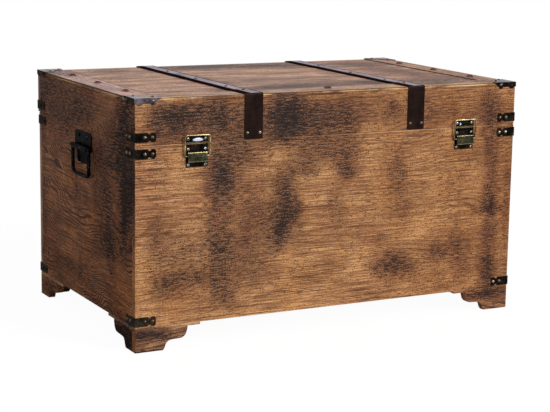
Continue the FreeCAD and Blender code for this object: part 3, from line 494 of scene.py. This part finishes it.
# painted sheen: a pale lavender copy of the top's pine for the lid's left frame, in place of its grazing reflection
leftFrameSheenPine = dict(topPineAndSheen, pale=(244, 206, 190), mid=(196, 158, 148), deep=(122, 94, 94), char=(86, 62, 84), bands=0.3)
footPine = dict(pine, pale=(194, 146, 104), mid=(146, 104, 74), deep=(84, 57, 46), char=(56, 38, 34),
                ringPitch=0.005, rings=0.7, swirl=0.6)
# the lid's upper arris, in metres below the lid's top: a dark line of painted shade, thicker on the ends, and bare
# fibres under it
arris = {"line": 0.0012, "endShadeLine": 0.0020, "bareFrom": 0.0008, "bareFull": 0.0014, "bareTo": 0.0038, "lap": 0.0030}


def flamedPine(name, p):
    shade = Shade(bpy.data.materials.new(name))
    grain = shade.attribute("grain")
    scorchAndShade, stain, worn = shade.attribute("mark")
    x, y, z = place = shade.place()
    swirl = p["swirl"]
    # growth rings of a slanting trunk: a wave over the distance from its heart
    slow = shade.noise(grain, (1.6 * swirl, 5, 5), 2)
    wander = shade.noise(grain, (6 * swirl, 30, 30), 2)
    heart = grain[1] + slow * (0.20 * swirl)
    depth = slow * 0.12 + grain[2] + 0.03
    distance = (heart * heart + depth * depth) ** 0.5 + wander * (0.008 * swirl)
    late = (distance * (math.tau / p["ringPitch"])).wave().step(0.25, 1.0)
    # the brushed figure, from broad to fine
    cloud = shade.noise(grain, (8, 11, 11), 4, 0.6)
    fade = shade.noise(grain, (5, 14, 14), 2, 0.5).step(-0.15, 0.15)
    dirt = shade.noise(grain, (12, 17, 17), 3, 0.6).step(-0.08, 0.16)
    band = shade.noise(grain, (2.5, 42, 42), 3, 0.6)
    streak = shade.noise(grain, (16, 300, 300), 3, 0.64)
    dash = shade.noise(grain, (60, 400, 400), 2, 0.62)
    speck = shade.noise(grain, (320, 430, 430), 2, 0.65)
    hair = shade.noise(grain, (9, 520, 520), 2, 0.5)
    calm = 1 - x.step(-0.1, 0.3) * 0.2
    figure = ((streak * 1.3 + dash + speck * 1.5 + hair * 1.6) * calm - late * fade * p["rings"] + band * p["bands"]
              + cloud * 0.7 + 0.72 - stain * 0.3)
    stops = ((0, "line"), (0.3, "deep"), (0.6, "mid"), (0.95, "pale"))
    colour = shade.ramp(figure, *((at, tint(*p[key])) for at, key in stops))
    colour = shade.wash(stain * 0.7, colour, (226, 190, 172))
    # the flame browns the wood in soft patches, chars their middles and blackens the flecks of open grain
    torch = shade.noise(place, (19, 19, 9), 5, 0.66)
    haze = shade.noise(place, (9, 9, 4), 3, 0.6).step(0.0, 0.25)
    # at the lid frame's riser and the corner below, the scorch value is painted shade, and these burn masks darken it
    # to char
    burnAndShade = (scorchAndShade + haze * 0.22) * (torch * 1.5 + 1.0)
    singedAndShaded = (burnAndShade + streak * 0.5).step(0.05, 0.7)
    texture = (streak * 1.5 + dash * 2.4 + speck * 2.2 + hair * 1.6) * p["crisp"]
    charredAndShaded = (burnAndShade + texture).step(0.30, 1.45)
    fleck = (dash * 0.8 + speck + dirt * 0.06 + burnAndShade * 0.10).step(0.03, 0.13)
    # the stain runs from mauve to golden in clouds, and it and the burns are warmer to the right
    warm = x.step(-0.15, 0.34)
    hue = shade.noise(place, (8, 8, 5), 3, 0.6)
    colour = shade.wash(hue.step(-0.02, 0.16) * (1 - warm * 0.85) * p["cloudy"], colour, (232, 208, 212))
    colour = shade.wash((0 - hue).step(-0.02, 0.16) * p["cloudy"], colour, (255, 240, 214))
    colour = shade.wash(warm, colour, (252, 245, 234))
    colour = shade.wash(singedAndShaded * 0.6, colour, shade.mix(warm, (154, 134, 128), (168, 124, 88)))
    colour = shade.mix(charredAndShaded * 0.95, colour, shade.mix(warm * 0.8, p["char"], (60, 32, 16)))
    # raised fibres inside the burns stay lighter
    fibre = burnAndShade.step(0.15, 0.8) * (1 - burnAndShade.step(0.8, 1.5) * 0.55) * (p["lift"] - texture).step(0.10, 0.62)
    colour = shade.mix(fibre * p["raised"], colour, p["fibre"])
    colour = shade.wash(fleck * 0.8, colour, (128, 92, 70))
    rubbed = (worn + dash * 1.2 + cloud * 0.8 - scorchAndShade * 0.7).step(0.3, 0.85)
    colour = shade.mix(rubbed * 0.8, colour, p["bare"])
    aside = x.size().step(chest["right"] - 0.0012, chest["right"] - 0.0006)
    ahead = (chest["front"] + 0.0012 - y).step(0.0, 0.0006)
    drop = chest["lidTop"] - z - aside * arris["endShadeLine"]
    ragged = (dash * 2.4 + cloud * 2.0 - burnAndShade + 0.75).step(0.1, 0.9)
    edge = drop.step(arris["bareFrom"], arris["bareFull"]) * (arris["bareTo"] - drop).step(0.0, 0.0010)
    # painted shade: a dark line just under the lid's top edge, in place of the shadow at the joint
    line = (arris["line"] - drop).step(0.0, 0.0005) * aside.most((chest["front"] + arris["lap"] - y).step(0.0, 0.0010))
    colour = shade.mix(edge * aside.most(ahead) * ragged * p["lip"], colour, (226, 190, 132))
    colour = shade.mix(line * (0.95 - aside * 0.2), colour, (62, 40, 28))
    relief = streak * 0.6 + dash * 0.4 + speck * 0.3 + late * (p["rings"] * 1.5) - fleck * 0.2
    return shade.finish(Base_Color=colour, Roughness=streak * 0.25 + charredAndShaded * 0.06 + 0.5,
                        Normal=shade.bump(relief, 0.0006, p["brushed"]), Specular_IOR_Level=p["gloss"])


wood = flamedPine("flamedPine", pine)
sideWood = flamedPine("sidePine", sidePine)
topWoodAndSheen = flamedPine("topPineAndSheen", topPineAndSheen)
leftFrameSheenWood = flamedPine("leftFrameSheenPine", leftFrameSheenPine)
footWood = flamedPine("footPine", footPine)
print("wood mixed")


# room for the hinges: where both stand, half their length, and the reach of a leaf and of the knuckles
hinge = {"x": 0.27, "y": chest["back"] + 0.001, "z": chest["bodyTop"] + 0.00025, "half": 0.0302, "leaf": 0.0084,
         "round": 0.0033}
spare = 0.001  # how far a cutter reaches past the wood


def cutterOf(x, half, outline):
    # an outline in YZ carried along x and closed
    count = len(outline)
    points = np.concatenate([np.column_stack([np.full(count, x + s * half), outline]) for s in (-1, 1)])
    sides = [(i, (i + 1) % count, count + (i + 1) % count, count + i) for i in range(count)]
    mesh = bpy.data.meshes.new("cutter")
    mesh.from_pydata(points.tolist(), [], sides + [tuple(range(count))[::-1], tuple(range(count, 2 * count))])
    weld(mesh)
    return addObject("cutter", mesh)


def block(xs, ys, zs):
    (y1, y2), (z1, z2) = ys, zs
    return cutterOf(sum(xs) / 2, abs(xs[1] - xs[0]) / 2, np.array([(y1, z1), (y2, z1), (y2, z2), (y1, z2)]))


def hingeCutters(ys, zs, knuckle=True):
    # room for both hinges' leaves and knuckles
    turn = np.linspace(0, math.tau, 25)[:-1]
    circle = np.stack([hinge["y"] + hinge["round"] * np.cos(turn), hinge["z"] + hinge["round"] * np.sin(turn)], -1)
    made = []
    for x in (-hinge["x"], hinge["x"]):
        made.append(block((x - hinge["half"], x + hinge["half"]), ys, zs))
        if knuckle:
            made.append(cutterOf(x, hinge["half"], circle))
    return made


# name: node, axes of the grain and of the thickness, wood, wood of the narrow faces, look
carcass = {
    "frontBoard": ("front_board", 0, 1, wood, sideWood, dict(shift=(3.1, -0.215, 0), stain=0, worn=0.8, endWorn=0.3)),
    "leftSide": ("left_side_board", 1, 0, sideWood, None, dict(shift=(7.4, -0.30, 0), stain=0.25, worn=0.4)),
    "rightSide": ("right_side_board", 1, 0, sideWood, None, dict(shift=(11.9, -0.12, 0.01), stain=0.25, worn=0.4)),
    "bottomPanel": ("bottom_board", 0, 2, wood, None, dict(shift=(19, 0.1, 0.5), stain=0.2, worn=0.2, pitch=0.03)),
    "backBoard": ("back_board", 0, 1, wood, None, dict(shift=(23.4, -0.2, 0.7), stain=0.25)),
}
lid = {
    "lidFrontRail": ("lid_front_rail", 0, 1, wood, sideWood, dict(shift=(31, -0.52, 0), worn=0.55, endWorn=0.2)),
    "lidBackRail": ("lid_back_rail", 0, 1, wood, None, dict(shift=(35.2, -0.50, 0.2), stain=0.25)),
    "lidLeftRail": ("lid_left_rail", 1, 0, sideWood, None, dict(shift=(39.1, -0.55, 0), stain=0.25)),
    "lidRightRail": ("lid_right_rail", 1, 0, sideWood, None, dict(shift=(43.7, -0.50, 0), stain=0.25)),
    "lidFrontFrame": ("lid_front_frame", 0, 2, topWoodAndSheen, wood, dict(shift=(47.3, 0.21, 0), worn=0.3, endWorn=0.2)),
    "lidLeftFrame": ("lid_left_frame", 1, 2, leftFrameSheenWood, sideWood, dict(shift=(55.5, 0.42, 0), worn=0.3, endWorn=0.2)),
    "lidRightFrame": ("lid_right_frame", 1, 2, topWoodAndSheen, sideWood,
                      dict(shift=(59.2, -0.42, 0), stain=0.5, worn=0.3, endWorn=0.2)),
}
for number in (1, 2, 3):
    lid["lidPlank%d" % number] = ("lid_plank_%d" % number, 0, 2, topWoodAndSheen, wood,
                                  dict(shift=(63 + 4.3 * number, 0.12 - 0.03 * number, 0), stain=0.3, worn=0.2))
laps = {"notch": 0.020, "lap": 0.010, "high": 0.004, "open": 0.0011, "ease": 0.0003, "frontOpen": 0.00015}


def makeBoards(boards, body, room):
    for name, (node, grain, through, material, sides, look) in boards.items():
        plank(name, node, grain, through, body, material, look, cutters=room.get(name, ()), sides=sides)


def roomInBack():
    top, y = chest["bodyTop"], hinge["y"]
    return {"backBoard": hingeCutters((y - hinge["leaf"], y), (top - 0.0012, top + spare))}


def roomInLid(p):
    # the back rail is cut for hinges and planks; the frame's boards are rebated below, the planks above
    low, y, back = chest["lidBottom"], hinge["y"], chest["lidBack"]
    inner, edge = chest["right"] - chest["endFrame"], chest["front"] + chest["frontFrame"]
    lip, top, lap = chest["lidTop"] - p["high"], chest["lidTop"] + spare, p["lap"]
    below = (planes("lid_front_frame")[0][2] - spare, lip)
    between = (planes("lid_plank_3")[1][0] - planes("lid_plank_1")[0][0]) / 2
    notch = (planes("lid_plank_1")[0][2], planes("lid_back_rail")[1][2] + spare)
    room = {
        "lidBackRail": [*hingeCutters((y - hinge["leaf"], y), (low - spare, low + 0.0012)),
                        *hingeCutters((y, y + 0.007), (low - spare, low + hinge["round"]), False),
                        block((-between, between), (back - p["notch"], back + spare), notch)],
        "lidFrontFrame": [block((-inner - lap, inner + lap), (edge - lap, edge + spare), below)],
    }
    for side, turn in (("Left", -1), ("Right", 1)):
        room["lid%sFrame" % side] = [block((turn * (inner - spare), turn * (inner + lap)),
                                           (edge - spare, back + spare), below)]
    # the joint stands open by a hair over 1 mm
    start, stop = inner - p["open"], inner + lap + p["ease"]
    for number in (1, 2, 3):
        near, far = planes("lid_plank_%d" % number)
        room["lidPlank%d" % number] = [block((turn * start, turn * stop), (near[1] - spare, far[1] + spare),
                                             (lip, top)) for turn in (-1, 1)]
    reach = inner + lap + spare
    room["lidPlank1"].append(block((-reach, reach), (edge - lap - spare, edge + p["frontOpen"]), (lip, top)))
    return room


# the feet: length of the flat toe on each board, height of the shelf, where its end turns down, and the foot's top
foot = {"toes": {"face": 0.057, "side": 0.032}, "step": 0.0185, "shoulder": 0.017, "top": 0.042,
        "plate": dict(pitch=0.02), "board": dict(worn=0.4, pitch=0.003), "shift": 71, "shiftStep": 1.7}


def footEdge(length, toe, f):
    # height of the foot's lower edge over its length: toe, hollow, shelf and rounded end
    step = f["step"]
    hollow = [(0, 0), (toe, 0), (toe + 0.0022, step * 0.16), (toe + 0.005, step * 0.6), (toe + 0.0092, step * 0.9),
              (toe + 0.015, step)]
    end = [(f["shoulder"], step + 0.001), (0.011, step + 0.0018), (0.0055, step + 0.0055), (0.0018, step + 0.0115),
           (0, f["top"] - 0.0014)]
    marks, heights = zip(*hollow, *((length - back, height) for back, height in end))
    return lambda along: np.interp(along, marks, heights)


def makeFeet(f):
    for number, (name, corner) in enumerate(cornerNames.items()):
        shift = f["shift"] + f["shiftStep"] * number
        plank(name + "Plate", corner + "_foot_plate", 0, 2, "carcass", wood, dict(f["plate"], shift=(shift, 0.4, 0)))
        for kind, grain, material in (("face", 0, footWood), ("side", 1, sideWood)):
            node = "%s_foot_%s" % (corner, kind)
            low, high = planes(node)
            length = (high - low)[grain]
            edge = footEdge(length, f["toes"][kind], f)
            turned = "right" in corner if grain == 0 else "back" in corner
            lower = (lambda along: edge(length - along)) if turned else edge
            plank(name + kind.capitalize(), node, grain, 1 - grain, "carcass", material,
                  dict(f["board"], shift=(shift + 0.6, 0.2, 0.3)), lower=lower, sides=sideWood)


makeBoards(carcass, "carcass", roomInBack())
makeFeet(foot)
makeBoards(lid, "lid", roomInLid(laps))
print("boards made")


# leather straps: thickness, bends, arris and spacing of rows; the swelling round the end nails, and the colours
strap = {"thick": 0.0025, "bend": 0.0024, "ease": 0.004, "slope": 0.007, "radius": 0.0007, "pitch": 0.006,
         "rows": (0.0025, 0.005, 0.008), "plain": 0.010, "puff": 0.0007, "nailFrom": 0.011, "puffLong": 0.009,
         "puffWide": 0.013, "rippleLong": 0.004, "ripples": 260, "dark": (18, 10, 8), "brown": (42, 24, 18),
         "rub": (96, 70, 58), "topSheen": (170, 158, 170), "cut": (10, 7, 7)}


def bentLine(corners, bends, pitch):
    # straight runs in YZ whose corners are cut back by their bend and joined by a quadratic curve
    corners = np.array(corners)
    ahead = np.diff(corners, axis=0)
    ahead /= np.linalg.norm(ahead, axis=1)[:, None]
    t = np.linspace(0, 1, 8)[:, None]
    curves = [(1 - t) ** 2 * (p - before * b) + 2 * t * (1 - t) * p + t ** 2 * (p + after * b)
              for p, b, before, after in zip(corners[1:-1], bends, ahead[:-1], ahead[1:])]
    stops = [corners[:1], *curves, corners[-1:]]
    runs = [np.linspace(a[-1], b[0], max(int(np.linalg.norm(b[0] - a[-1]) / pitch), 1) + 1)[1:-1]
            for a, b in zip(stops[:-1], stops[1:])]
    return np.concatenate([piece for pair in zip(stops, runs + [np.zeros((0, 2))]) for piece in pair])


def makeStrap(name, node, s):
    # a flat section along the bent line; its face rises in a bell over its end nails, and in one times a squared
    # sine at its cut ends
    low, high = planes(node)
    x, half, t = (low[0] + high[0]) / 2, (high[0] - low[0]) / 2, s["thick"] / 2
    front, back, top, panel = chest["front"] - t, chest["lidBack"] + t, chest["lidTop"] + t, chest["panelTop"] + t
    inner = chest["front"] + chest["frontFrame"]
    corners = [(front, low[2]), (front, top), (inner, top), (inner + s["slope"], panel), (back, panel), (back, low[2])]
    line = bentLine(corners, [s["bend"], s["ease"] / 2, s["ease"] / 2, s["bend"]], s["pitch"])
    gone = np.concatenate([[0], np.cumsum(np.linalg.norm(np.diff(line, axis=0), axis=1))])
    drawn, inset = quarter(s["radius"])
    close, total = np.array(s["rows"]), gone[-1]
    along = np.concatenate([drawn, close, gone[(gone > s["plain"]) & (gone < total - s["plain"])],
                            total - close[::-1], total - drawn[::-1]])
    shrink = np.concatenate([inset, np.zeros(len(along) - 2 * len(inset)), inset[::-1]])
    path = np.stack([np.full(len(along), x), *(np.interp(along, gone, part) for part in line.T)], -1)
    ahead = np.gradient(path, along, axis=0)
    ahead /= np.linalg.norm(ahead, axis=1)[:, None]
    normal = np.cross((1, 0, 0), ahead)
    fromEnd = np.minimum(along, total - along)[:, None]

    def swell(aside):
        mound = np.exp(-((fromEnd - s["nailFrom"]) / s["puffLong"]) ** 2)
        dome = np.cos(aside / s["puffWide"] * math.pi / 2).clip(0) ** 2
        ripple = np.exp(-(fromEnd / s["rippleLong"]) ** 2) * 0.5 * np.sin(aside * s["ripples"] + x * 40) ** 2
        return s["puff"] * (mound * dome + ripple)

    points, faces = carry(path, (1, 0, 0), normal, half - shrink, t - shrink, np.maximum(s["radius"] - shrink, 1e-7),
                          9, swell=swell)
    made = makePiece(name, points, faces, "lid", leather, node)
    # "strap" holds whether a point is on top, its place across, and its height over the middle
    found = readRows(made.data.vertices, "co")
    nearest = np.linalg.norm(found[:, None, 1:] - path[None, :, 1:], axis=2).argmin(1)
    rise = ((found - path[nearest]) * normal[nearest]).sum(1)
    inLength = (found[:, 1] > chest["front"] - 0.0005) & (found[:, 1] < chest["lidBack"])
    onTop = inLength & (found[:, 2] > chest["panelTop"] + 0.0002)
    writeAttribute(made.data, "strap", onTop * 1.0, found[:, 0] - x, rise)


def strapLeather(s):
    shade = Shade(bpy.data.materials.new("leather"))
    onTop, across, rise = shade.attribute("strap")
    place = shade.place()
    cloud = shade.noise(place, (30, 14, 14), 4, 0.6)
    pebble = shade.noise(place, (900, 900, 900), 2, 0.6)
    crease = shade.noise(place, (60, 420, 420), 3, 0.6)
    rub = (across.size().step(0.0165, 0.019) * 0.6 + cloud.step(0.0, 0.3) * 0.25 + pebble * 0.5).step(0.35, 1.0)
    colour = shade.mix((cloud + crease * 0.5).step(-0.2, 0.25), s["dark"], s["brown"])
    colour = shade.mix(rub * 0.45, colour, s["rub"])
    # painted sheen on the top, between the dark cut edges: a pale lavender-grey in place of the grazing reflection
    strip = (across + 0.0080).step(0.0, 0.003) * (0.0158 - across).step(0.0, 0.0016)
    topSheen = onTop.step(0.4, 0.6) * strip * (cloud * 1.6 + crease * 0.8 + 0.78)
    colour = shade.mix(topSheen, colour, s["topSheen"])
    # the edges darken towards the underside, to the cut colour at the bottom
    colour = shade.mix((0 - rise).step(-0.0011, -0.0002) * 0.85, colour, s["cut"])
    height = pebble * 0.35 + crease * 0.6 + cloud * 1.2
    return shade.finish(Base_Color=colour, Roughness=cloud * 0.25 + 0.465, Normal=shade.bump(height, 0.0004, 0.5),
                        Specular_IOR_Level=0.0, Coat_Weight=topSheen * 0.25 + (1 - onTop) * 0.10, Coat_Roughness=0.35)


leather = strapLeather(strap)
makeStrap("leftStrap", "left_strap", strap)
makeStrap("rightStrap", "right_strap", strap)
print("straps made")


# metals: the dull colour's dark and light, the rubbed specks' colour, roughness, specks per metre, their share, and
# the shine at grazing angles
metals = {
    "darkBronze": ((11, 10, 9), (36, 31, 26), (132, 108, 76), 0.32, 380, 0.30, 0.5),
    # painted sheen: the next two pale bronzes stand in for the caps' grazing reflection
    "frontSheenBronze": ((36, 32, 34), (100, 91, 95), (158, 148, 144), 0.40, 300, 0.20, 0.7),
    "topSheenBronze": ((66, 60, 66), (160, 150, 158), (196, 186, 190), 0.45, 300, 0.20, 0.9),
    "dullBronze": ((28, 26, 20), (58, 54, 44), (120, 116, 92), 0.40, 300, 0.20, 0.6),
    "oliveBronze": ((40, 40, 30), (74, 72, 54), (150, 136, 96), 0.34, 340, 0.20, 0.7),
    "blackIron": ((5, 5, 6), (26, 25, 27), (130, 128, 136), 0.34, 300, 0.30, 0.5),
    "agedBronze": ((56, 41, 31), (116, 90, 66), (190, 168, 140), 0.26, 260, 0.30, 0.8),
    "nailBronze": ((70, 62, 54), (150, 138, 122), (226, 220, 206), 0.20, 220, 0.50, 1.0),
    "studBronze": ((84, 56, 54), (128, 92, 88), (168, 136, 128), 0.42, 300, 0.25, 0.4),
    "antiqueBrass": ((104, 90, 58), (196, 176, 128), (240, 228, 196), 0.28, 240, 0.50, 1.0),
    "screwSteel": ((120, 116, 108), (205, 200, 190), (240, 238, 232), 0.24, 420, 0.50, 1.0),
}
metals["screwIron"] = metals["blackIron"]


def metal(name, dark, light, glint, rough, specks, share, rim):
    # a dull finish in clouds, and a brighter metal in rubbed specks
    shade = Shade(bpy.data.materials.new(name))
    place = shade.place()
    cloud = shade.noise(place, (46, 46, 46), 4, 0.62)
    grit = shade.noise(place, (specks,) * 3, 3, 0.6)
    height = grit + cloud * 1.5
    colour = shade.mix((cloud + grit * 0.5).step(-0.18, 0.22), dark, light)
    colour = shade.mix((grit + cloud * 0.8).step(0.10, 0.30) * share, colour, glint)
    if name.startswith("screw"):
        # a cross recess, short of the head's rim: a dark cross of painted shade, and a dip in the bump
        right, up, reach = shade.attribute("head")
        cross = (0.24 - right.size().least(up.size())).step(0.0, 0.12) * (0.74 - reach).step(0.0, 0.16)
        colour = shade.mix(cross, colour, (14, 13, 12))
        height = height - cross * 4
    return shade.finish(Base_Color=colour, Metallic=1.0, Roughness=cloud * 0.3 + grit * 0.15 + rough,
                        Normal=shade.bump(height, 0.00025, 0.35), Specular_Tint=grey(rim))


finish = {name: metal(name, *values) for name, values in metals.items()}
bronze, aged, brass, iron = (finish[name] for name in ("darkBronze", "agedBronze", "antiqueBrass", "blackIron"))


def reflectionPatch(name, centre, reach):
    # dark steel with a painted reflection: one bright bluish-white ellipse at centre, with soft ends
    shade = Shade(bpy.data.materials.new(name))
    x, y, z = place = shade.place()
    grit = shade.noise(place, (500, 500, 500), 2, 0.6)
    far = ((x - centre[0]) * (1 / reach[0])) ** 2 + ((z - centre[1]) * (1 / reach[1])) ** 2 + grit * 0.5
    colour = shade.mix((1.25 - far).step(0.0, 0.6), (20, 20, 20), (206, 216, 238))
    return shade.finish(Base_Color=colour, Metallic=1.0, Roughness=grit * 0.2 + 0.35)


def softened(name, node, width, body, face, edge, pick=None, extra=()):
    # the node's own form with its edges rounded off and rubbed
    mesh = nodes[node].data.copy()
    mesh.name = name
    if "custom_normal" in mesh.attributes:
        mesh.attributes.remove(mesh.attributes["custom_normal"])
    work = merged(mesh)
    bmesh.ops.dissolve_limit(work, angle_limit=math.radians(1.0), verts=work.verts, edges=work.edges)
    work.to_mesh(mesh)
    work.free()
    paint(mesh, (face, edge, *extra), pick or (lambda at, out: 0))
    mesh.shade_smooth()
    mesh.set_sharp_from_angle(angle=math.radians(35))
    change = settle(name, mesh, body, node).modifiers.new("rounded", "BEVEL")
    change.width, change.segments, change.limit_method = width, 2, "ANGLE"
    change.angle_limit, change.material, change.harden_normals = math.radians(38), 1, True
    change.use_clamp_overlap = True


def dress(node, *finishes, pick=None):
    # a node kept as it is, in new finishes
    paint(nodes[node].data, finishes, pick)


def makeTrim():
    # the bands at the front left foot are duller
    dulled = lambda at, out: 2 if at[0] < 0 and at[2] < 0.1 else 0
    for place, body in (("upper", "carcass"), ("lower", "carcass"), ("lid", "lid")):
        softened(place + "Bands", place + "_corner_bands", 0.0006, body, bronze, aged, dulled, [finish["dullBronze"]])
    for name, corner in cornerNames.items():
        # painted sheen: the tops, and the front of the front left one, take pale bronze in place of their grazing
        # reflection
        front = -0.5 if corner == "front_left" else -2
        bare = lambda at, out: 3 if out[2] > 0.5 else 2 if out[1] < front else 0
        softened(name + "Cap", corner + "_corner_cap", 0.0004, "lid", bronze, aged, bare,
                 [finish["frontSheenBronze"], finish["topSheenBronze"]])

    def nailPick(at, out):
        # darker on the back of the ends; aged on the ends, on the top and low on the left
        x, y, z = at
        ending = abs(x) > chest["right"]
        return 2 if ending and y > 0.2 else int(ending or (x < 0 and z < 0.1) or z > chest["lidTop"])

    for node in ("body_nails", "lid_nails"):
        dress(node, finish["nailBronze"], aged, bronze, pick=nailPick)
    dress("lid_studs", finish["studBronze"])


# each hook's painted reflection, a bright patch: its offset from the latch's middle and half its width; its height and
# half its depth
hookReflections = {"left": (0.0008, 0.0105), "right": (-0.0140, 0.0045), "patch": (0.3955, 0.0030)}


def makeLatches():
    height, deep = hookReflections["patch"]
    for side in ("left", "right"):
        offset, half = hookReflections[side]
        low, high = planes(side + "_latch_catch")
        hookReflection = reflectionPatch(side + "Hook", ((low[0] + high[0]) / 2 + offset, height), (half, deep))
        # the rolled lip below is rubbed brass; the hook's face carries the painted reflection
        catch = lambda at, out: (2 if at[2] < low[2] + 0.0016 and at[1] < chest["front"] - 0.0013 else
                                 3 if at[1] < chest["front"] - 0.0036 and out[1] < -0.8 else 0)
        softened(side + "Catch", side + "_latch_catch", 0.0003, "lid", bronze, aged, catch, [brass, hookReflection])
        softened(side + "Base", side + "_latch_base", 0.0003, "carcass", bronze, aged)
        low, high = planes(side + "_latch_lever")
        lever = lambda at, out: 2 if (at[2] > high[2] - 0.0014 and out[2] > 0.4) or at[2] < low[2] + 0.0010 else 0
        softened(side + "Lever", side + "_latch_lever", 0.00025, side + "_latch_lever", finish["oliveBronze"], aged,
                 lever, [brass])
        dress(side + "_latch_bail", brass)
    dress("latch_pins", aged)


def makeHandles():
    for side in ("left", "right"):
        softened(side + "HandlePlate", side + "_handle_plate", 0.0005, "carcass", iron, iron)
        dress(side + "_handle_bail", iron)
    dress("handle_rods", iron)


def makeHinges():
    for part, body in (("body", "carcass"), ("lid", "lid")):
        softened("hinge%sLeaves" % part.capitalize(), "hinge_%s_leaves" % part, 0.0002, body, bronze, aged)
    dress("hinge_pins", aged)


def islands(node):
    # the points of each separate solid in a node, in the order of their first points
    work = merged(nodes[node].data)
    seen, found = set(), []
    for start in work.verts:
        edge = [] if start in seen else [start]
        group = []
        while edge:
            seen.update(edge)
            group += edge
            near = dict.fromkeys(e.other_vert(v) for v in edge for e in v.link_edges)
            edge = [v for v in near if v not in seen]
        if group:
            found.append(np.array([v.co[:] for v in group]))
    work.free()
    return found


# screw heads: sectors, the dome's rings in degrees, its rim, the foot below it, and the crosses' turns
screw = {"sectors": 12, "lifts": (0, 35, 65, 90), "rim": 0.93, "foot": (0.9, 0.0004), "turns": (0.4, 0.9)}


def screwHeads(name, node, body, s):
    # a low dome for each screw's head: rings of an ellipse, r sin(a) across and h cos(a) up, closed below
    turn = np.linspace(0, math.tau, s["sectors"] + 1)[:-1]
    lift = np.radians(s["lifts"])
    grids, marks, faces, finishes = [], [], [], []
    for number, points in enumerate(islands(node)):
        low, high = points.min(0), points.max(0)
        size = high - low
        axis = min(range(3), key=lambda a: abs(size[(a + 1) % 3] - size[(a + 2) % 3]))
        first, second = (axis + 1) % 3, (axis + 2) % 3
        radius, middle = size[first] / 2, (low + high) / 2
        fromAxis = np.linalg.norm((points - middle)[:, [first, second]], axis=1)
        wide = points[fromAxis > radius * s["rim"]][:, axis]
        out = 1 if wide.mean() > middle[axis] else -1
        tip, seat = (high[axis], wide.min()) if out > 0 else (low[axis], wide.max())
        reach = np.append(radius * np.sin(lift), [radius * s["foot"][0], 0])
        level = np.append(tip - out * abs(tip - seat) * (1 - np.cos(lift)), [seat - out * s["foot"][1]] * 2)
        grid = np.zeros((len(reach), len(turn), 3))
        grid[:, :, first] = middle[first] + reach[:, None] * np.cos(turn)
        grid[:, :, second] = middle[second] + reach[:, None] * np.sin(turn)
        grid[:, :, axis] = level[:, None]
        # "head" holds the place on the head, turned, in its radii, and the distance from its middle
        share = np.minimum(reach / radius, 1)
        share[-2:] += 1
        angle = turn + s["turns"][0] + number * s["turns"][1]
        marks.append(share[:, None, None] * np.column_stack([np.cos(angle), np.sin(angle), np.ones(len(angle))]))
        grids.append(grid)
        faces.append(gridFaces(len(reach), len(turn), number * grid[:, :, 0].size)[1])
        finishes.append(np.full(len(faces[-1]), int(max(-low[0], high[0]) > chest["right"] + 0.0005)))
    mesh = bpy.data.meshes.new(name)
    mesh.from_pydata(np.reshape(grids, (-1, 3)).tolist(), [], np.concatenate(faces).tolist())
    writeAttribute(mesh, "head", *np.reshape(marks, (-1, 3)).T)
    paint(mesh, (finish["screwSteel"], finish["screwIron"]))
    mesh.polygons.foreach_set("material_index", np.concatenate(finishes))
    weld(mesh, 1e-6)
    mesh.shade_smooth()
    settle(name, mesh, body, node)


makeTrim()
makeLatches()
makeHandles()
makeHinges()
screwHeads("bodyScrews", "body_screws", "carcass", screw)
screwHeads("lidScrews", "lid_screws", "lid", screw)
print("metalwork dressed")
